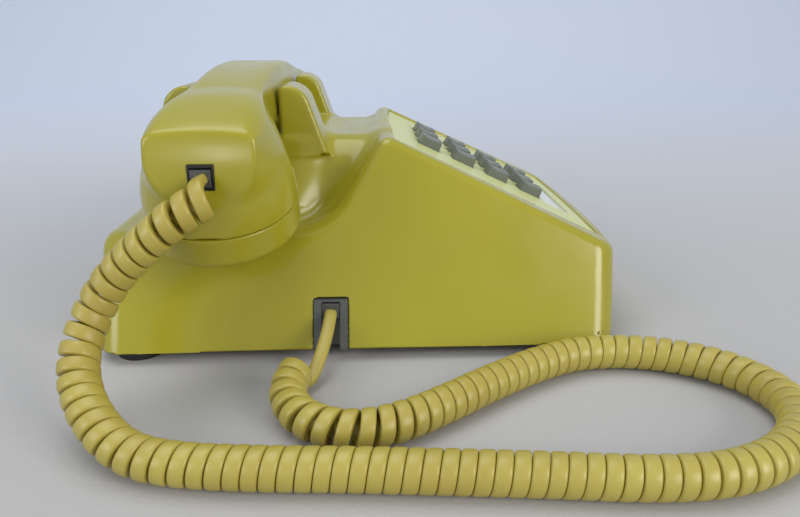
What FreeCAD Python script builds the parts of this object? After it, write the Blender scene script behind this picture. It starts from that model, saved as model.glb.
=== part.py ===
"""Push-button desk telephone with a handset on a curly cord, as a parametric document.

Frame: millimetres, +Z up, +Y to the rear, +X to the user's right. The origin is on the table
under the middle of the telephone. The keypad faces the front and the handset lies across the
cradle from left (mouthpiece) to right (earpiece).
"""
import FreeCAD
import Part
import Sketcher
import math
import os
import re

Vector = FreeCAD.Vector
UP = Vector(0, 0, 1)
SIDEWAYS = Vector(1, 0, 0)
DEEPWARD = Vector(0, 1, 0)

doc = FreeCAD.newDocument("desk_telephone")

# ---------------------------------------------------------------- driving sizes
SIZES = [
    # housing
    ("width", 200.0, "width of the housing along its bottom edge, at the rear"),
    ("front_in", 2.0, "front corners further in than the rear ones, each side"),
    ("depth", 232.0, "depth of the housing, the bowed front included"),
    ("front_bow", 12.0, "how far the front bows out between its corners"),
    ("corner_radius", 12.0, "radius of the upright corners"),
    ("wall", 3.0, "wall of the moulded housing"),
    ("floor_gap", 5.0, "height of the housing's bottom edge above the table"),
    ("lean", 25.0, "angle at which the side walls lean inward"),
    ("slope", 25.0, "angle of the keypad face to the table"),
    ("face_y", -55.4, "middle of the keypad, along Y"),
    ("face_z", 64.9, "height of the faceplate's surface at the middle of the keypad"),
    ("rim", 1.0, "height of the housing's rim above the faceplate"),
    ("ridge_y", -6.5, "top edge of the keypad face, along Y"),
    ("skirt_top", 50.0, "height of the low rear part, under the handset's caps"),
    ("crease_y", 20.0, "where the keypad part's back meets the low rear part"),
    ("post_in", 26.0, "screw posts in from the housing's sides"),
    ("post_back", 52.0, "screw posts in from the housing's front and rear"),
    ("post_radius", 4.5, "radius of a screw post"),
    # cradle
    ("deck_top", 86.0, "height of the cradle's floor"),
    ("deck_half", 48.0, "half width of the cradle's floor"),
    ("pedestal_half", 57.0, "half width of the cradle's foot, at the low rear part"),
    ("cradle_y", 58.5, "middle of the cradle, along Y"),
    ("slot_gap", 1.5, "gap between the handset's handle and the ears, each side"),
    ("ear_top", 108.5, "height of the ears"),
    ("ear_foot", 20.0, "depth of an ear at its foot"),
    ("ear_crest", 7.0, "depth of an ear at its top"),
    ("ear_wide", 26.0, "width of an ear"),
    # keypad
    ("key_pitch", 19.05, "spacing of the keys, both ways"),
    ("key_wide", 12.3, "width of a key"),
    ("key_deep", 11.2, "depth of a key, down the slope"),
    ("key_rise", 4.9, "height of a key above the faceplate"),
    ("key_travel", 2.5, "how far a key is pushed"),
    ("key_gap", 0.45, "gap round a key in its hole"),
    ("dish_radius", 22.0, "radius of the dished top of a key"),
    ("dish_deep", 0.7, "depth of the dish"),
    ("flange", 1.0, "width of the flange that keeps a key in, beyond its hole"),
    ("flange_thick", 1.2, "thickness of that flange"),
    ("stem_radius", 2.0, "radius of a key's stem"),
    ("plate_thick", 3.0, "thickness of the faceplate"),
    ("plate_up", 47.8, "faceplate above the middle of the keypad, up the slope"),
    ("plate_drop", 12.5, "faceplate's bottom edge below the middle of the number card"),
    ("plate_top_half", 54.0, "half width of the faceplate at its top corners"),
    ("plate_end_half", 60.0, "half width of the faceplate at its bottom corners"),
    ("plate_bow", 2.5, "bow of the faceplate's top and bottom edges"),
    ("plate_gap", 0.35, "gap between faceplate and housing"),
    ("card_wide", 60.0, "width of the number card"),
    ("card_deep", 14.0, "depth of the number card"),
    ("card_drop", 14.9, "middle of the number card below the middle of the last row"),
    ("card_thick", 0.4, "thickness of the number card"),
    ("window_thick", 1.2, "thickness of the clear window over the card"),
    ("tray_beside", 23.0, "key tray's side beyond the middle of the outer keys"),
    ("tray_beyond", 14.4, "key tray's end beyond the middle of the end keys"),
    ("tray_wall", 2.0, "wall and floor of the key tray"),
    ("tray_high", 11.0, "height of the key tray"),
    ("board_gap", 2.0, "gap between tray and circuit board"),
    ("board_thick", 1.6, "thickness of the circuit board"),
    ("sheet", 1.2, "thickness of the sheet-metal brackets"),
    # base
    ("plate_floor", 1.5, "thickness of the steel base plate"),
    ("floor_inset", 4.5, "base plate's edge inside the housing's bottom edge"),
    ("foot_radius", 9.8, "radius of a rubber foot"),
    ("foot_in", 14.0, "feet in from the housing's sides"),
    ("foot_back", 16.0, "rear feet in from the housing's rear"),
    ("front_foot_back", 28.0, "front feet in from the housing's front"),
    ("stud_radius", 2.5, "radius of the stud that holds a foot"),
    ("screw_radius", 2.0, "radius of a housing screw"),
    ("screw_head", 3.8, "radius of a screw's head"),
    # hook switch
    ("plunger_in", 13.0, "plungers in from the ends of the cradle's floor"),
    ("plunger_radius", 4.5, "radius of a plunger"),
    ("plunger_fit", 0.1, "radial clearance of a plunger in its hole"),
    ("plunger_rise", 6.0, "how far a plunger rises when the handset is lifted"),
    ("lever_reach", 28.0, "from the plungers back to the hook lever's pin"),
    ("pin_z", 52.0, "height of the hook lever's pin"),
    ("pin_radius", 1.5, "radius of that pin"),
    # ringer
    ("gong_radius", 19.0, "radius of a gong"),
    ("gong_high", 12.0, "height of a gong"),
    ("gong_wall", 1.2, "wall of a gong"),
    ("gong_gap", 7.0, "gap between the two gongs"),
    ("ringer_y", 5.0, "line through the middles of the gongs, along Y"),
    ("gong_z", 18.0, "height of a gong's open edge"),
    ("ball_radius", 2.0, "radius of the clapper's ball"),
    ("coil_radius", 9.0, "radius of the ringer's coil"),
    ("coil_long", 32.0, "length of the ringer's coil"),
    ("wheel_in", 38.0, "volume wheel in from the housing's right side"),
    ("wheel_y", 5.0, "volume wheel, along Y"),
    ("wheel_radius", 13.0, "radius of the volume wheel"),
    ("wheel_thick", 4.0, "thickness of the volume wheel"),
    ("wheel_out", 2.0, "how far the volume wheel shows below the base plate"),
    # jacks and plugs
    ("jack_y", 17.0, "middle of the handset-cord jack in the left wall, along Y"),
    ("jack_wide", 14.3, "width of that jack"),
    ("jack_top", 24.4, "height of that jack's top"),
    ("jack_deep", 14.0, "depth of that jack behind the wall's surface"),
    ("socket_wide", 7.6, "width of a cord socket"),
    ("socket_high", 6.6, "height of a cord socket"),
    ("channel_deep", 5.0, "depth of the open channel under the socket"),
    ("plug_wide", 7.3, "width of a cord plug"),
    ("plug_high", 6.2, "height of a cord plug"),
    ("plug_long", 12.0, "length of a cord plug"),
    ("line_x", -50.0, "middle of the line jack in the rear wall, along X"),
    ("line_wide", 16.0, "width of the line jack"),
    ("line_high", 16.0, "height of the line jack"),
    ("line_deep", 15.0, "depth of the line jack"),
    ("line_socket", 11.7, "width of the line socket"),
    # handset
    ("grip_wide", 34.0, "width of the handset's handle"),
    ("grip_over", 19.0, "how far the handset's ends stand past the housing's sides"),
    ("ridge_in", 2.0, "ridge where the handle's top meets its end, in from that end"),
    ("ridge_z", 100.0, "height of that ridge"),
    ("grip_top", 117.0, "height of the handle's top at its middle"),
    ("arch_half", 62.0, "half length of the handle's arched underside"),
    ("arch_rise", 8.0, "rise of the arched underside"),
    ("cup_in", 28.5, "middle of a cup's seam, in from the handset's end"),
    ("cup_z", 69.3, "height of the middle of a cup's seam"),
    ("cup_tilt", 18.0, "angle at which the cups face each other"),
    ("cup_radius", 30.0, "radius of a cup at its seam"),
    ("cup_neck", 20.0, "radius of a cup where it joins the handle"),
    ("cup_high", 30.0, "height of a cup from seam to handle"),
    ("cup_bore", 26.0, "radius of the hollow in a cup"),
    ("cup_deep", 19.0, "depth of that hollow"),
    ("cap_high", 14.0, "height of a screw cap"),
    ("cap_wall", 2.4, "wall of a screw cap"),
    ("cap_thread", 6.0, "length of the thread inside a cap"),
    ("unit_radius", 23.0, "radius of the transmitter and receiver units"),
    ("handset_jack_z", 83.5, "height of the jack in the handset's end"),
    ("handset_jack_wide", 9.4, "width of that jack"),
    ("handset_jack_high", 9.4, "height of that jack"),
    ("rest_gap", 0.2, "gap left under the resting handset"),
    # cord
    ("coil_outer", 14.0, "outer diameter of the curly cord"),
    ("cable", 5.0, "diameter of the cord's cable"),
]


class Dim:
    """A size worked out from the sheet: its present value, and the expression that gives it."""

    def __init__(self, value, text):
        self.value = value
        self.text = text

    def __add__(self, other):
        other = dim(other)
        return Dim(self.value + other.value, "(%s + %s)" % (self.text, other.text))

    def __sub__(self, other):
        other = dim(other)
        return Dim(self.value - other.value, "(%s - %s)" % (self.text, other.text))

    def __mul__(self, other):
        other = dim(other)
        return Dim(self.value * other.value, "(%s * %s)" % (self.text, other.text))

    def __truediv__(self, other):
        other = dim(other)
        return Dim(self.value / other.value, "(%s / %s)" % (self.text, other.text))

    def __radd__(self, other):
        return dim(other) + self

    def __rsub__(self, other):
        return dim(other) - self

    def __rmul__(self, other):
        return dim(other) * self

    def __neg__(self):
        return dim(0) - self


def dim(number):
    """Return the number as a Dim, so that plain numbers and sheet sizes mix."""
    if isinstance(number, Dim):
        return number
    return Dim(float(number), "%.6f" % number)


def cosine(angle):
    return Dim(math.cos(math.radians(angle.value)), "cos(%s)" % angle.text)


def tangent(angle):
    return Dim(math.tan(math.radians(angle.value)), "tan(%s)" % angle.text)


def fill_sheet():
    """Put the sizes in the document's sheet and return them by name."""
    sheet = doc.addObject("Spreadsheet::Sheet", "Sizes")
    sizes = {}
    for row, (alias, value, meaning) in enumerate(SIZES, start=1):
        sheet.set("A%d" % row, alias)
        sheet.set("B%d" % row, repr(value))
        sheet.set("C%d" % row, meaning)
        sheet.setAlias("B%d" % row, alias)
        sizes[alias] = Dim(value, "Sizes." + alias)
    doc.recompute()
    return sizes


class Sizes:
    """The sheet's sizes as attributes."""

    def __init__(self, sizes):
        self.__dict__.update(sizes)


S = Sizes(fill_sheet())

SLOT_HALF = S.grip_wide / 2 + S.slot_gap
GRIP_END = S.width / 2 + S.grip_over
GRIP_RIDGE = GRIP_END - S.ridge_in
CUP_X = GRIP_END - S.cup_in
PLUNGER_X = S.deck_half - S.plunger_in
WHEEL_X = S.width / 2 - S.wheel_in
CARD_DOWN = 1.5 * S.key_pitch + S.card_drop
PLATE_DOWN = CARD_DOWN + S.plate_drop
TRAY_HALF_WIDE = S.key_pitch + S.tray_beside
TRAY_HALF_DEEP = 1.5 * S.key_pitch + S.tray_beyond

# ---------------------------------------------------------------- drawing helpers


def bind(thing, field, size):
    """Tie one field of an object to a size."""
    size = dim(size)
    if re.search("[A-Za-z]", size.text):
        thing.setExpression(field, size.text)
    else:
        setattr(thing, field, size.value)


def place(thing, x=0, y=0, z=0, axis=UP, angle=0):
    """Put an object at x, y, z, turned about an axis, and tie the place to the sizes."""
    x, y, z, angle = dim(x), dim(y), dim(z), dim(angle)
    spot = Vector(x.value, y.value, z.value)
    thing.Placement = FreeCAD.Placement(spot, FreeCAD.Rotation(axis, angle.value))
    for field, size in (("x", x), ("y", y), ("z", z)):
        if "Sizes" in size.text:
            thing.setExpression("Placement.Base." + field, size.text)
    if "Sizes" in angle.text:
        thing.setExpression("Placement.Rotation.Angle", angle.text)
    return thing


def box(name, x, y, z):
    """Make a box that spans the three pairs of limits."""
    thing = doc.addObject("Part::Box", name)
    for field, pair in (("Length", x), ("Width", y), ("Height", z)):
        bind(thing, field, dim(pair[1]) - pair[0])
    return place(thing, x[0], y[0], z[0])


def centred_box(name, middle, spans):
    """Make a box from its middle and its three spans."""
    limits = []
    for centre, span in zip(middle, spans):
        centre, span = dim(centre), dim(span)
        limits.append((centre - span / 2, centre + span / 2))
    return box(name, *limits)


def cylinder(name, radius, z, x=0, y=0):
    """Make an upright cylinder at x, y between two heights."""
    thing = doc.addObject("Part::Cylinder", name)
    bind(thing, "Radius", radius)
    bind(thing, "Height", dim(z[1]) - z[0])
    return place(thing, x, y, z[0])


def bar(name, radius, x, y=0, z=0):
    """Make a cylinder that lies along X between two limits."""
    thing = doc.addObject("Part::Cylinder", name)
    bind(thing, "Radius", radius)
    bind(thing, "Height", dim(x[1]) - x[0])
    return place(thing, x[0], y, z, DEEPWARD, 90)


def cut(name, base, tools):
    """Take every tool away from the base."""
    whole = join(name + "_tools", tools)
    thing = doc.addObject("Part::Cut", name)
    thing.Base = base
    thing.Tool = whole
    return thing


def hold(name, pieces):
    """Gather pieces under one placement, without fusing them."""
    thing = doc.addObject("Part::Compound", name)
    thing.Links = pieces
    return thing


def join(name, pieces):
    """Fuse the pieces into one solid, or return a lone piece as it is."""
    if len(pieces) == 1:
        return pieces[0]
    thing = doc.addObject("Part::MultiFuse", name)
    thing.Shapes = pieces
    return thing


def overlap(name, pieces):
    """Keep what the pieces have in common."""
    thing = doc.addObject("Part::MultiCommon", name)
    thing.Shapes = pieces
    return thing


def origin_plane(body, role):
    """Find one of a body's own origin planes by its role."""
    for feature in body.Origin.OriginFeatures:
        if feature.Role == role:
            return feature
    raise ValueError("no plane " + role)


def sketch(body, name, role, offset=0):
    """Start a sketch on one of the body's own planes, moved along the plane's normal."""
    drawing = body.newObject("Sketcher::SketchObject", name)
    drawing.AttachmentSupport = (origin_plane(body, role), [""])
    drawing.MapMode = "FlatFace"
    offset = dim(offset)
    drawing.AttachmentOffset = FreeCAD.Placement(Vector(0, 0, offset.value), FreeCAD.Rotation())
    if "Sizes" in offset.text:
        drawing.setExpression("AttachmentOffset.Base.z", offset.text)
    return drawing


def pin_point(drawing, side, position, corner):
    """Hold one end of a side at a corner given by two sizes."""
    for kind, size in (("DistanceX", dim(corner[0])), ("DistanceY", dim(corner[1]))):
        index = drawing.addConstraint(Sketcher.Constraint(kind, -1, 1, side, position, size.value))
        if "Sizes" in size.text:
            drawing.setExpression("Constraints[%d]" % index, size.text)


def arc_between(start, end, bow):
    """Return the arc from start to end that bows out by bow, to the right of its way."""
    chord = end - start
    half = chord.Length / 2
    radius = (half * half + bow * bow) / (2 * abs(bow))
    outward = Vector(chord.y, -chord.x, 0).normalize()
    centre = (start + end) * 0.5 - outward * math.copysign(radius - abs(bow), bow)
    first, last = (start, end) if bow > 0 else (end, start)
    angle_a = math.atan2(first.y - centre.y, first.x - centre.x)
    angle_b = math.atan2(last.y - centre.y, last.x - centre.x)
    if angle_b < angle_a:
        angle_b += 2 * math.pi
    return Part.ArcOfCircle(Part.Circle(centre, UP, radius), angle_a, angle_b)


def outline(drawing, corners, bows=None):
    """Draw a closed outline, counter-clockwise; bows holds the bow of each side that is an arc."""
    bows = bows or {}
    count = len(corners)
    first = drawing.GeometryCount
    spots = [Vector(dim(x).value, dim(y).value, 0) for x, y in corners]
    for number in range(count):
        start, end = spots[number], spots[(number + 1) % count]
        if number in bows:
            drawing.addGeometry(arc_between(start, end, bows[number].value), False)
        else:
            drawing.addGeometry(Part.LineSegment(start, end), False)
    for number in range(count):
        following = (number + 1) % count
        turned = number in bows and bows[number].value < 0
        next_turned = following in bows and bows[following].value < 0
        tail = 1 if turned else 2
        head = 2 if next_turned else 1
        drawing.addConstraint(Sketcher.Constraint("Coincident", first + number, tail,
                                                  first + following, head))
        pin_point(drawing, first + number, 2 if turned else 1, corners[number])
    for number, bow in bows.items():
        hold_radius(drawing, first + number, corners[number], corners[(number + 1) % count], bow)
    return drawing


def hold_radius(drawing, side, start, end, bow):
    """Tie an arc's radius to its chord and its bow."""
    run_x = dim(end[0]) - start[0]
    run_y = dim(end[1]) - start[1]
    if bow.value < 0:
        bow = -bow
    radius = ((run_x * run_x + run_y * run_y) / 4 + bow * bow) / (2 * bow)
    index = drawing.addConstraint(Sketcher.Constraint("Radius", side, radius.value))
    drawing.setExpression("Constraints[%d]" % index, radius.text)


def pad(body, drawing, length, both_ways=False):
    """Raise a sketch into a solid."""
    feature = body.newObject("PartDesign::Pad", drawing.Name + "_pad")
    feature.Profile = drawing
    bind(feature, "Length", length)
    feature.SideType = "Symmetric" if both_ways else "One side"
    return feature


def pocket_through(body, drawing):
    """Cut a sketch right through the solid, both ways."""
    feature = body.newObject("PartDesign::Pocket", drawing.Name + "_pocket")
    feature.Profile = drawing
    feature.Type = "Length"
    feature.Length = 1000
    feature.SideType = "Symmetric"
    return feature


def new_body(name):
    return doc.addObject("PartDesign::Body", name)


NODES = []


def node(name, thing):
    """Name a finished sub-part; its label is also its file's name."""
    thing.Label = name
    NODES.append(thing)
    return thing


def on_face(thing):
    """Move a sub-part drawn flat on the keypad face to its place on the slope."""
    return place(thing, 0, S.face_y, S.face_z, SIDEWAYS, S.slope)


# ---------------------------------------------------------------- housing
FLOOR_TOP = S.floor_gap + S.plate_floor
REAR = S.depth / 2
FRONT_CORNER = S.front_bow - REAR


def plan_outline(drawing, inset):
    """Draw the housing's plan: straight rear and sides, bowed front."""
    rear_half = S.width / 2 - inset
    front_half = S.width / 2 - S.front_in - inset
    corners = [
        (-front_half, FRONT_CORNER + inset),
        (front_half, FRONT_CORNER + inset),
        (rear_half, REAR - inset),
        (-rear_half, REAR - inset),
    ]
    return outline(drawing, corners, {0: S.front_bow})


def upright_edges(shape):
    """Name the edges that run straight up."""
    names = []
    for number, edge in enumerate(shape.Edges, start=1):
        run = edge.Vertexes[-1].Point - edge.Vertexes[0].Point
        if run.Length > 0 and abs(run.z) > 0.999 * run.Length:
            names.append("Edge%d" % number)
    return names


def round_upright_edges(body, feature, radius):
    """Round a pad's upright edges."""
    doc.recompute()
    fillet = body.newObject("PartDesign::Fillet", body.Name + "_corners")
    fillet.Base = (feature, upright_edges(feature.Shape))
    bind(fillet, "Radius", radius)
    return fillet


def face_height(y, above):
    """Height of the face's slope at y, that far above the faceplate's surface."""
    return S.face_z + (y - S.face_y) * tangent(S.slope) + above / cosine(S.slope)


def housing_form(name, inset, bottom):
    """Build the housing as one closed form; the same form, inset, is the hollow inside it."""
    inset = dim(inset)
    body = new_body(name)
    plan = plan_outline(sketch(body, name + "_plan", "XY_Plane", bottom), inset)
    block = pad(body, plan, S.ear_top)
    round_upright_edges(body, block, S.corner_radius - inset)

    far = S.depth
    above = S.rim - inset
    ridge_top = face_height(S.ridge_y, above)
    profile = sketch(body, name + "_profile", "YZ_Plane")
    outline(profile, [
        (-far, face_height(-far, above)),
        (S.ridge_y - inset / 2, ridge_top - inset / 4),
        (S.crease_y - inset, S.skirt_top - inset),
        (far, S.skirt_top - inset),
        (far, 3 * far),
        (-far, 3 * far),
    ])
    pocket_through(body, profile)

    for side in (-1, 1):
        lean_cut(body, "%s_lean_%s" % (name, "left" if side < 0 else "right"), side, inset)

    pedestal = sketch(body, name + "_pedestal", "XZ_Plane", -S.cradle_y)
    outline(pedestal, [
        (inset - S.pedestal_half, S.floor_gap + S.wall),
        (S.pedestal_half - inset, S.floor_gap + S.wall),
        (S.pedestal_half - inset, S.skirt_top - S.wall),
        (S.deck_half - inset, S.deck_top - inset),
        (inset - S.deck_half, S.deck_top - inset),
        (inset - S.pedestal_half, S.skirt_top - S.wall),
    ])
    half_deep = SLOT_HALF + S.ear_foot + 1
    pad(body, pedestal, 2 * (half_deep - inset), both_ways=True)

    bridge = sketch(body, name + "_bridge", "XZ_Plane", -(S.cradle_y - half_deep) / 2)
    outline(bridge, [
        (inset - S.deck_half, S.skirt_top - S.wall),
        (S.deck_half - inset, S.skirt_top - S.wall),
        (S.deck_half - inset, S.deck_top - inset),
        (inset - S.deck_half, S.deck_top - inset),
    ])
    pad(body, bridge, S.cradle_y - half_deep + 4, both_ways=True)

    for side in (-1, 1):
        for end in (-1, 1):
            ear(body, name, side, end, inset)
    return body


def lean_cut(body, name, side, inset):
    """Slice one side wall to its inward lean."""
    foot = side * (S.width / 2 - inset / cosine(S.lean))
    high = S.depth
    tip = foot - side * high * tangent(S.lean)
    corners = [
        (foot, S.floor_gap),
        (foot + side * S.width, S.floor_gap),
        (tip + side * S.width, S.floor_gap + high),
        (tip, S.floor_gap + high),
    ]
    if side < 0:
        corners.reverse()
    pocket_through(body, outline(sketch(body, name, "XZ_Plane"), corners))


def ear(body, name, side, end, inset):
    """Raise one of the four ears that keep the handset on the cradle."""
    label = "%s_ear_%s_%s" % (name, "left" if side < 0 else "right", "front" if end < 0 else "rear")
    middle = side * (S.deck_half - S.ear_wide / 2)
    drawing = sketch(body, label, "YZ_Plane", middle)
    slot = SLOT_HALF + inset
    top = S.ear_top - inset
    steps = [
        (slot, S.deck_top - S.wall - 1),
        (SLOT_HALF + S.ear_foot - inset, S.deck_top - S.wall - 1),
        (SLOT_HALF + S.ear_foot - inset, S.deck_top - inset),
        (SLOT_HALF + S.ear_crest + 5 - inset, top - 4),
        (SLOT_HALF + S.ear_crest, top),
        (slot + 2.5, top),
        (slot, top - 3.5),
    ]
    corners = [(S.cradle_y + end * y, z) for y, z in steps]
    if end < 0:
        corners.reverse()
    outline(drawing, corners)
    pad(body, drawing, S.ear_wide - 2 * inset, both_ways=True)


def faceplate_form(name, grow, low, high):
    """Build the faceplate's outline as a solid on the face, between two heights."""
    body = new_body(name)
    drawing = sketch(body, name + "_plan", "XY_Plane", low)
    outline(drawing, [
        (-(S.plate_end_half + grow), -(PLATE_DOWN + grow)),
        (S.plate_end_half + grow, -(PLATE_DOWN + grow)),
        (S.plate_top_half + grow, S.plate_up + grow),
        (-(S.plate_top_half + grow), S.plate_up + grow),
    ], {0: S.plate_bow, 2: S.plate_bow})
    pad(body, drawing, dim(high) - low)
    return body


def post_spots():
    """The four screw posts, as pairs of X and Y."""
    post_x = S.width / 2 - S.post_in
    post_y = REAR - S.post_back
    return [(x * post_x, y * post_y) for x in (-1, 1) for y in (-1, 1)]


def make_housing():
    """One moulding: keypad part, low rear part, cradle with four ears, and screw posts."""
    outer = housing_form("housing_outer", 0, S.floor_gap)
    inner = housing_form("housing_inner", S.wall, S.floor_gap - 1)
    shell = cut("housing_shell", outer, [inner])
    posts = []
    for number, (x, y) in enumerate(post_spots(), start=1):
        posts.append(cylinder("post_%d" % number, S.post_radius, (FLOOR_TOP, S.skirt_top - 1), x, y))
    inside_posts = overlap("posts_inside", [join("posts_all", posts), housing_form(
        "housing_trim", S.wall / 2, S.floor_gap - 1)])
    moulding = join("housing_moulding", [shell, inside_posts])
    holes = [on_face(faceplate_form("face_opening", S.plate_gap, -4 * S.wall, 4 * S.wall))]
    for side in (-1, 1):
        holes.append(cylinder("plunger_hole_%d" % side, S.plunger_radius + S.plunger_fit,
                              (S.deck_top - 2 * S.wall, S.deck_top + S.wall),
                              side * PLUNGER_X, S.cradle_y))
    holes.append(box("base_jack_notch", (-S.width, -(S.width / 2 - S.jack_deep - 12)),
                     (S.jack_y - S.jack_wide / 2, S.jack_y + S.jack_wide / 2),
                     (0, S.jack_top)))
    holes.append(box("line_jack_notch", (S.line_x - S.line_wide / 2, S.line_x + S.line_wide / 2),
                     (REAR - S.line_deep, S.depth), (0, FLOOR_TOP + S.line_high)))
    for number, (x, y) in enumerate(post_spots(), start=1):
        holes.append(cylinder("pilot_%d" % number, S.screw_radius, (0, FLOOR_TOP + 12), x, y))
    return node("housing", cut("housing_cut", moulding, holes))


# ---------------------------------------------------------------- base
def foot_spots():
    """The four feet: name, X and Y."""
    foot_x = S.width / 2 - S.foot_in
    front = S.front_foot_back - REAR
    rear = REAR - S.foot_back
    return [
        ("foot_front_left", -foot_x, front),
        ("foot_front_right", foot_x, front),
        ("foot_rear_left", -foot_x, rear),
        ("foot_rear_right", foot_x, rear),
    ]


def make_base_plate():
    """Pressed steel plate that closes the housing from below and carries the works."""
    body = new_body("base_sheet")
    drawing = plan_outline(sketch(body, "base_sheet_plan", "XY_Plane", S.floor_gap), S.floor_inset)
    sheet = pad(body, drawing, S.plate_floor)
    round_upright_edges(body, sheet, S.corner_radius - S.floor_inset)
    deep = (0, 2 * FLOOR_TOP)
    holes = []
    for number, (x, y) in enumerate(post_spots(), start=1):
        holes.append(cylinder("screw_hole_%d" % number, S.screw_radius, deep, x, y))
    for name, x, y in foot_spots():
        holes.append(cylinder(name + "_hole", S.stud_radius, deep, x, y))
    holes.append(centred_box("wheel_slot", (WHEEL_X, S.wheel_y, FLOOR_TOP),
                             (S.wheel_thick + 2, 2 * S.wheel_radius + 2, 10)))
    holes.append(box("jack_slot", (-S.width, -(S.width / 2 - S.jack_deep - 12)),
                     (S.jack_y - S.jack_wide / 2, S.jack_y + S.jack_wide / 2), deep))
    return node("base_plate", cut("base_plate_cut", body, holes))


def make_feet():
    """Four rubber feet, each on a stud pushed through the base plate."""
    for name, x, y in foot_spots():
        pad_part = cylinder(name + "_pad", S.foot_radius, (0, S.floor_gap), x, y)
        stud = cylinder(name + "_stud", S.stud_radius, (S.floor_gap, FLOOR_TOP), x, y)
        barb = cylinder(name + "_barb", S.stud_radius + 1, (FLOOR_TOP, FLOOR_TOP + 2), x, y)
        node(name, join(name + "_joined", [pad_part, stud, barb]))


def make_housing_screws():
    """Four screws up through the base plate into the housing's posts."""
    parts = []
    for number, (x, y) in enumerate(post_spots(), start=1):
        shank = cylinder("shank_%d" % number, S.screw_radius, (S.floor_gap, FLOOR_TOP + 10), x, y)
        head = cylinder("head_%d" % number, S.screw_head, (S.floor_gap - 2.2, S.floor_gap), x, y)
        parts.append(join("screw_%d" % number, [shank, head]))
    gathered = hold("screws", parts)
    return node("housing_screws", gathered)


# ---------------------------------------------------------------- keypad
KEYS = ["1", "2", "3", "4", "5", "6", "7", "8", "9", "star", "0", "pound"]


def key_spots():
    """Each key's name with its place on the face, from the top row down."""
    spots = []
    for number, name in enumerate(KEYS):
        column = number % 3 - 1
        row = 1.5 - number // 3
        spots.append(("key_" + name, column * S.key_pitch, row * S.key_pitch))
    return spots


def make_faceplate():
    """Plate over the keys, with a hole for each key and a recess for the number card."""
    plate = faceplate_form("faceplate_blank", 0, -S.plate_thick, 0)
    holes = []
    for name, x, y in key_spots():
        spans = (S.key_wide + 2 * S.key_gap, S.key_deep + 2 * S.key_gap, 4 * S.plate_thick)
        holes.append(centred_box(name + "_hole", (x, y, 0), spans))
    holes.append(box("card_recess", (-S.card_wide / 2, S.card_wide / 2),
                     (-CARD_DOWN - S.card_deep / 2, S.card_deep / 2 - CARD_DOWN),
                     (-S.window_thick - S.card_thick, S.plate_thick)))
    return node("faceplate", on_face(cut("faceplate_cut", plate, holes)))


def make_number_card():
    """Paper card and the clear window that holds it down."""
    across = (-S.card_wide / 2, S.card_wide / 2)
    along = (-CARD_DOWN - S.card_deep / 2, S.card_deep / 2 - CARD_DOWN)
    card = box("card", across, along, (-S.window_thick - S.card_thick, -S.window_thick))
    window = box("window", across, along, (-S.window_thick, 0))
    node("number_card", on_face(hold("card_alone", [card])))
    node("card_window", on_face(hold("window_alone", [window])))


TRAY_TOP = -S.plate_thick
TRAY_LOW = TRAY_TOP - S.tray_high
TRAY_FLOOR = TRAY_LOW + S.tray_wall
BOARD_TOP = TRAY_LOW - S.board_gap
BOARD_LOW = BOARD_TOP - S.board_thick
FLANGE_TOP = TRAY_TOP - 0.1


def make_key(name, x, y):
    """A key: block with a dished top, a flange under the faceplate, and a stem with its foot."""
    block = centred_box(name + "_block", (x, y, (S.key_rise + FLANGE_TOP) / 2),
                        (S.key_wide, S.key_deep, S.key_rise - FLANGE_TOP))
    dish = bar(name + "_dish", S.dish_radius, (x - S.key_wide, x + S.key_wide), y,
               S.key_rise + S.dish_radius - S.dish_deep)
    edge = 2 * (S.key_gap + S.flange)
    flange = centred_box(name + "_flange", (x, y, FLANGE_TOP - S.flange_thick / 2),
                         (S.key_wide + edge, S.key_deep + edge, S.flange_thick))
    stem = cylinder(name + "_stem", S.stem_radius, (BOARD_TOP + S.key_travel + 0.2, FLANGE_TOP), x, y)
    top = cut(name + "_top", block, [dish])
    return node(name, on_face(join(name + "_joined", [top, flange, stem])))


def make_key_tray():
    """Tray under the faceplate that guides the twelve key stems."""
    half_x, half_y = TRAY_HALF_WIDE, TRAY_HALF_DEEP
    whole = box("tray_block", (-half_x, half_x), (-half_y, half_y), (TRAY_LOW, TRAY_TOP))
    edge = S.tray_wall
    holes = [box("tray_hollow", (edge - half_x, half_x - edge), (edge - half_y, half_y - edge),
                 (TRAY_FLOOR, S.plate_thick))]
    for name, x, y in key_spots():
        holes.append(cylinder(name + "_guide", S.stem_radius + 0.08, (2 * TRAY_LOW, 0), x, y))
    tray = cut("tray_cut", whole, holes)
    legs = []
    for number, (x, y) in enumerate([(-1, -1), (-1, 1), (1, -1), (1, 1)], start=1):
        legs.append(cylinder("tray_leg_%d" % number, 2.5, (BOARD_TOP, TRAY_LOW),
                             x * (half_x - 5), y * (half_y - 5)))
    return node("key_tray", on_face(join("tray_joined", [tray] + legs)))


def make_key_springs():
    """Twelve short return springs round the stems, at their pressed height."""
    springs = []
    floor = TRAY_FLOOR
    top = FLANGE_TOP - S.flange_thick - S.key_travel - 0.2
    for name, x, y in key_spots():
        outside = cylinder(name + "_coil", S.stem_radius + 1.1, (floor, top), x, y)
        inside = cylinder(name + "_clear", S.stem_radius + 0.4, (floor - 1, top + 1), x, y)
        springs.append(cut(name + "_spring", outside, [inside]))
    gathered = hold("springs", springs)
    return node("key_springs", on_face(gathered))


def make_keypad_board():
    """Circuit board on the tray's four legs."""
    half_x, half_y = TRAY_HALF_WIDE - 1, TRAY_HALF_DEEP - 1
    board = box("board", (-half_x, half_x), (-half_y, half_y), (BOARD_LOW, BOARD_TOP))
    return node("keypad_board", on_face(hold("board_alone", [board])))


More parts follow.
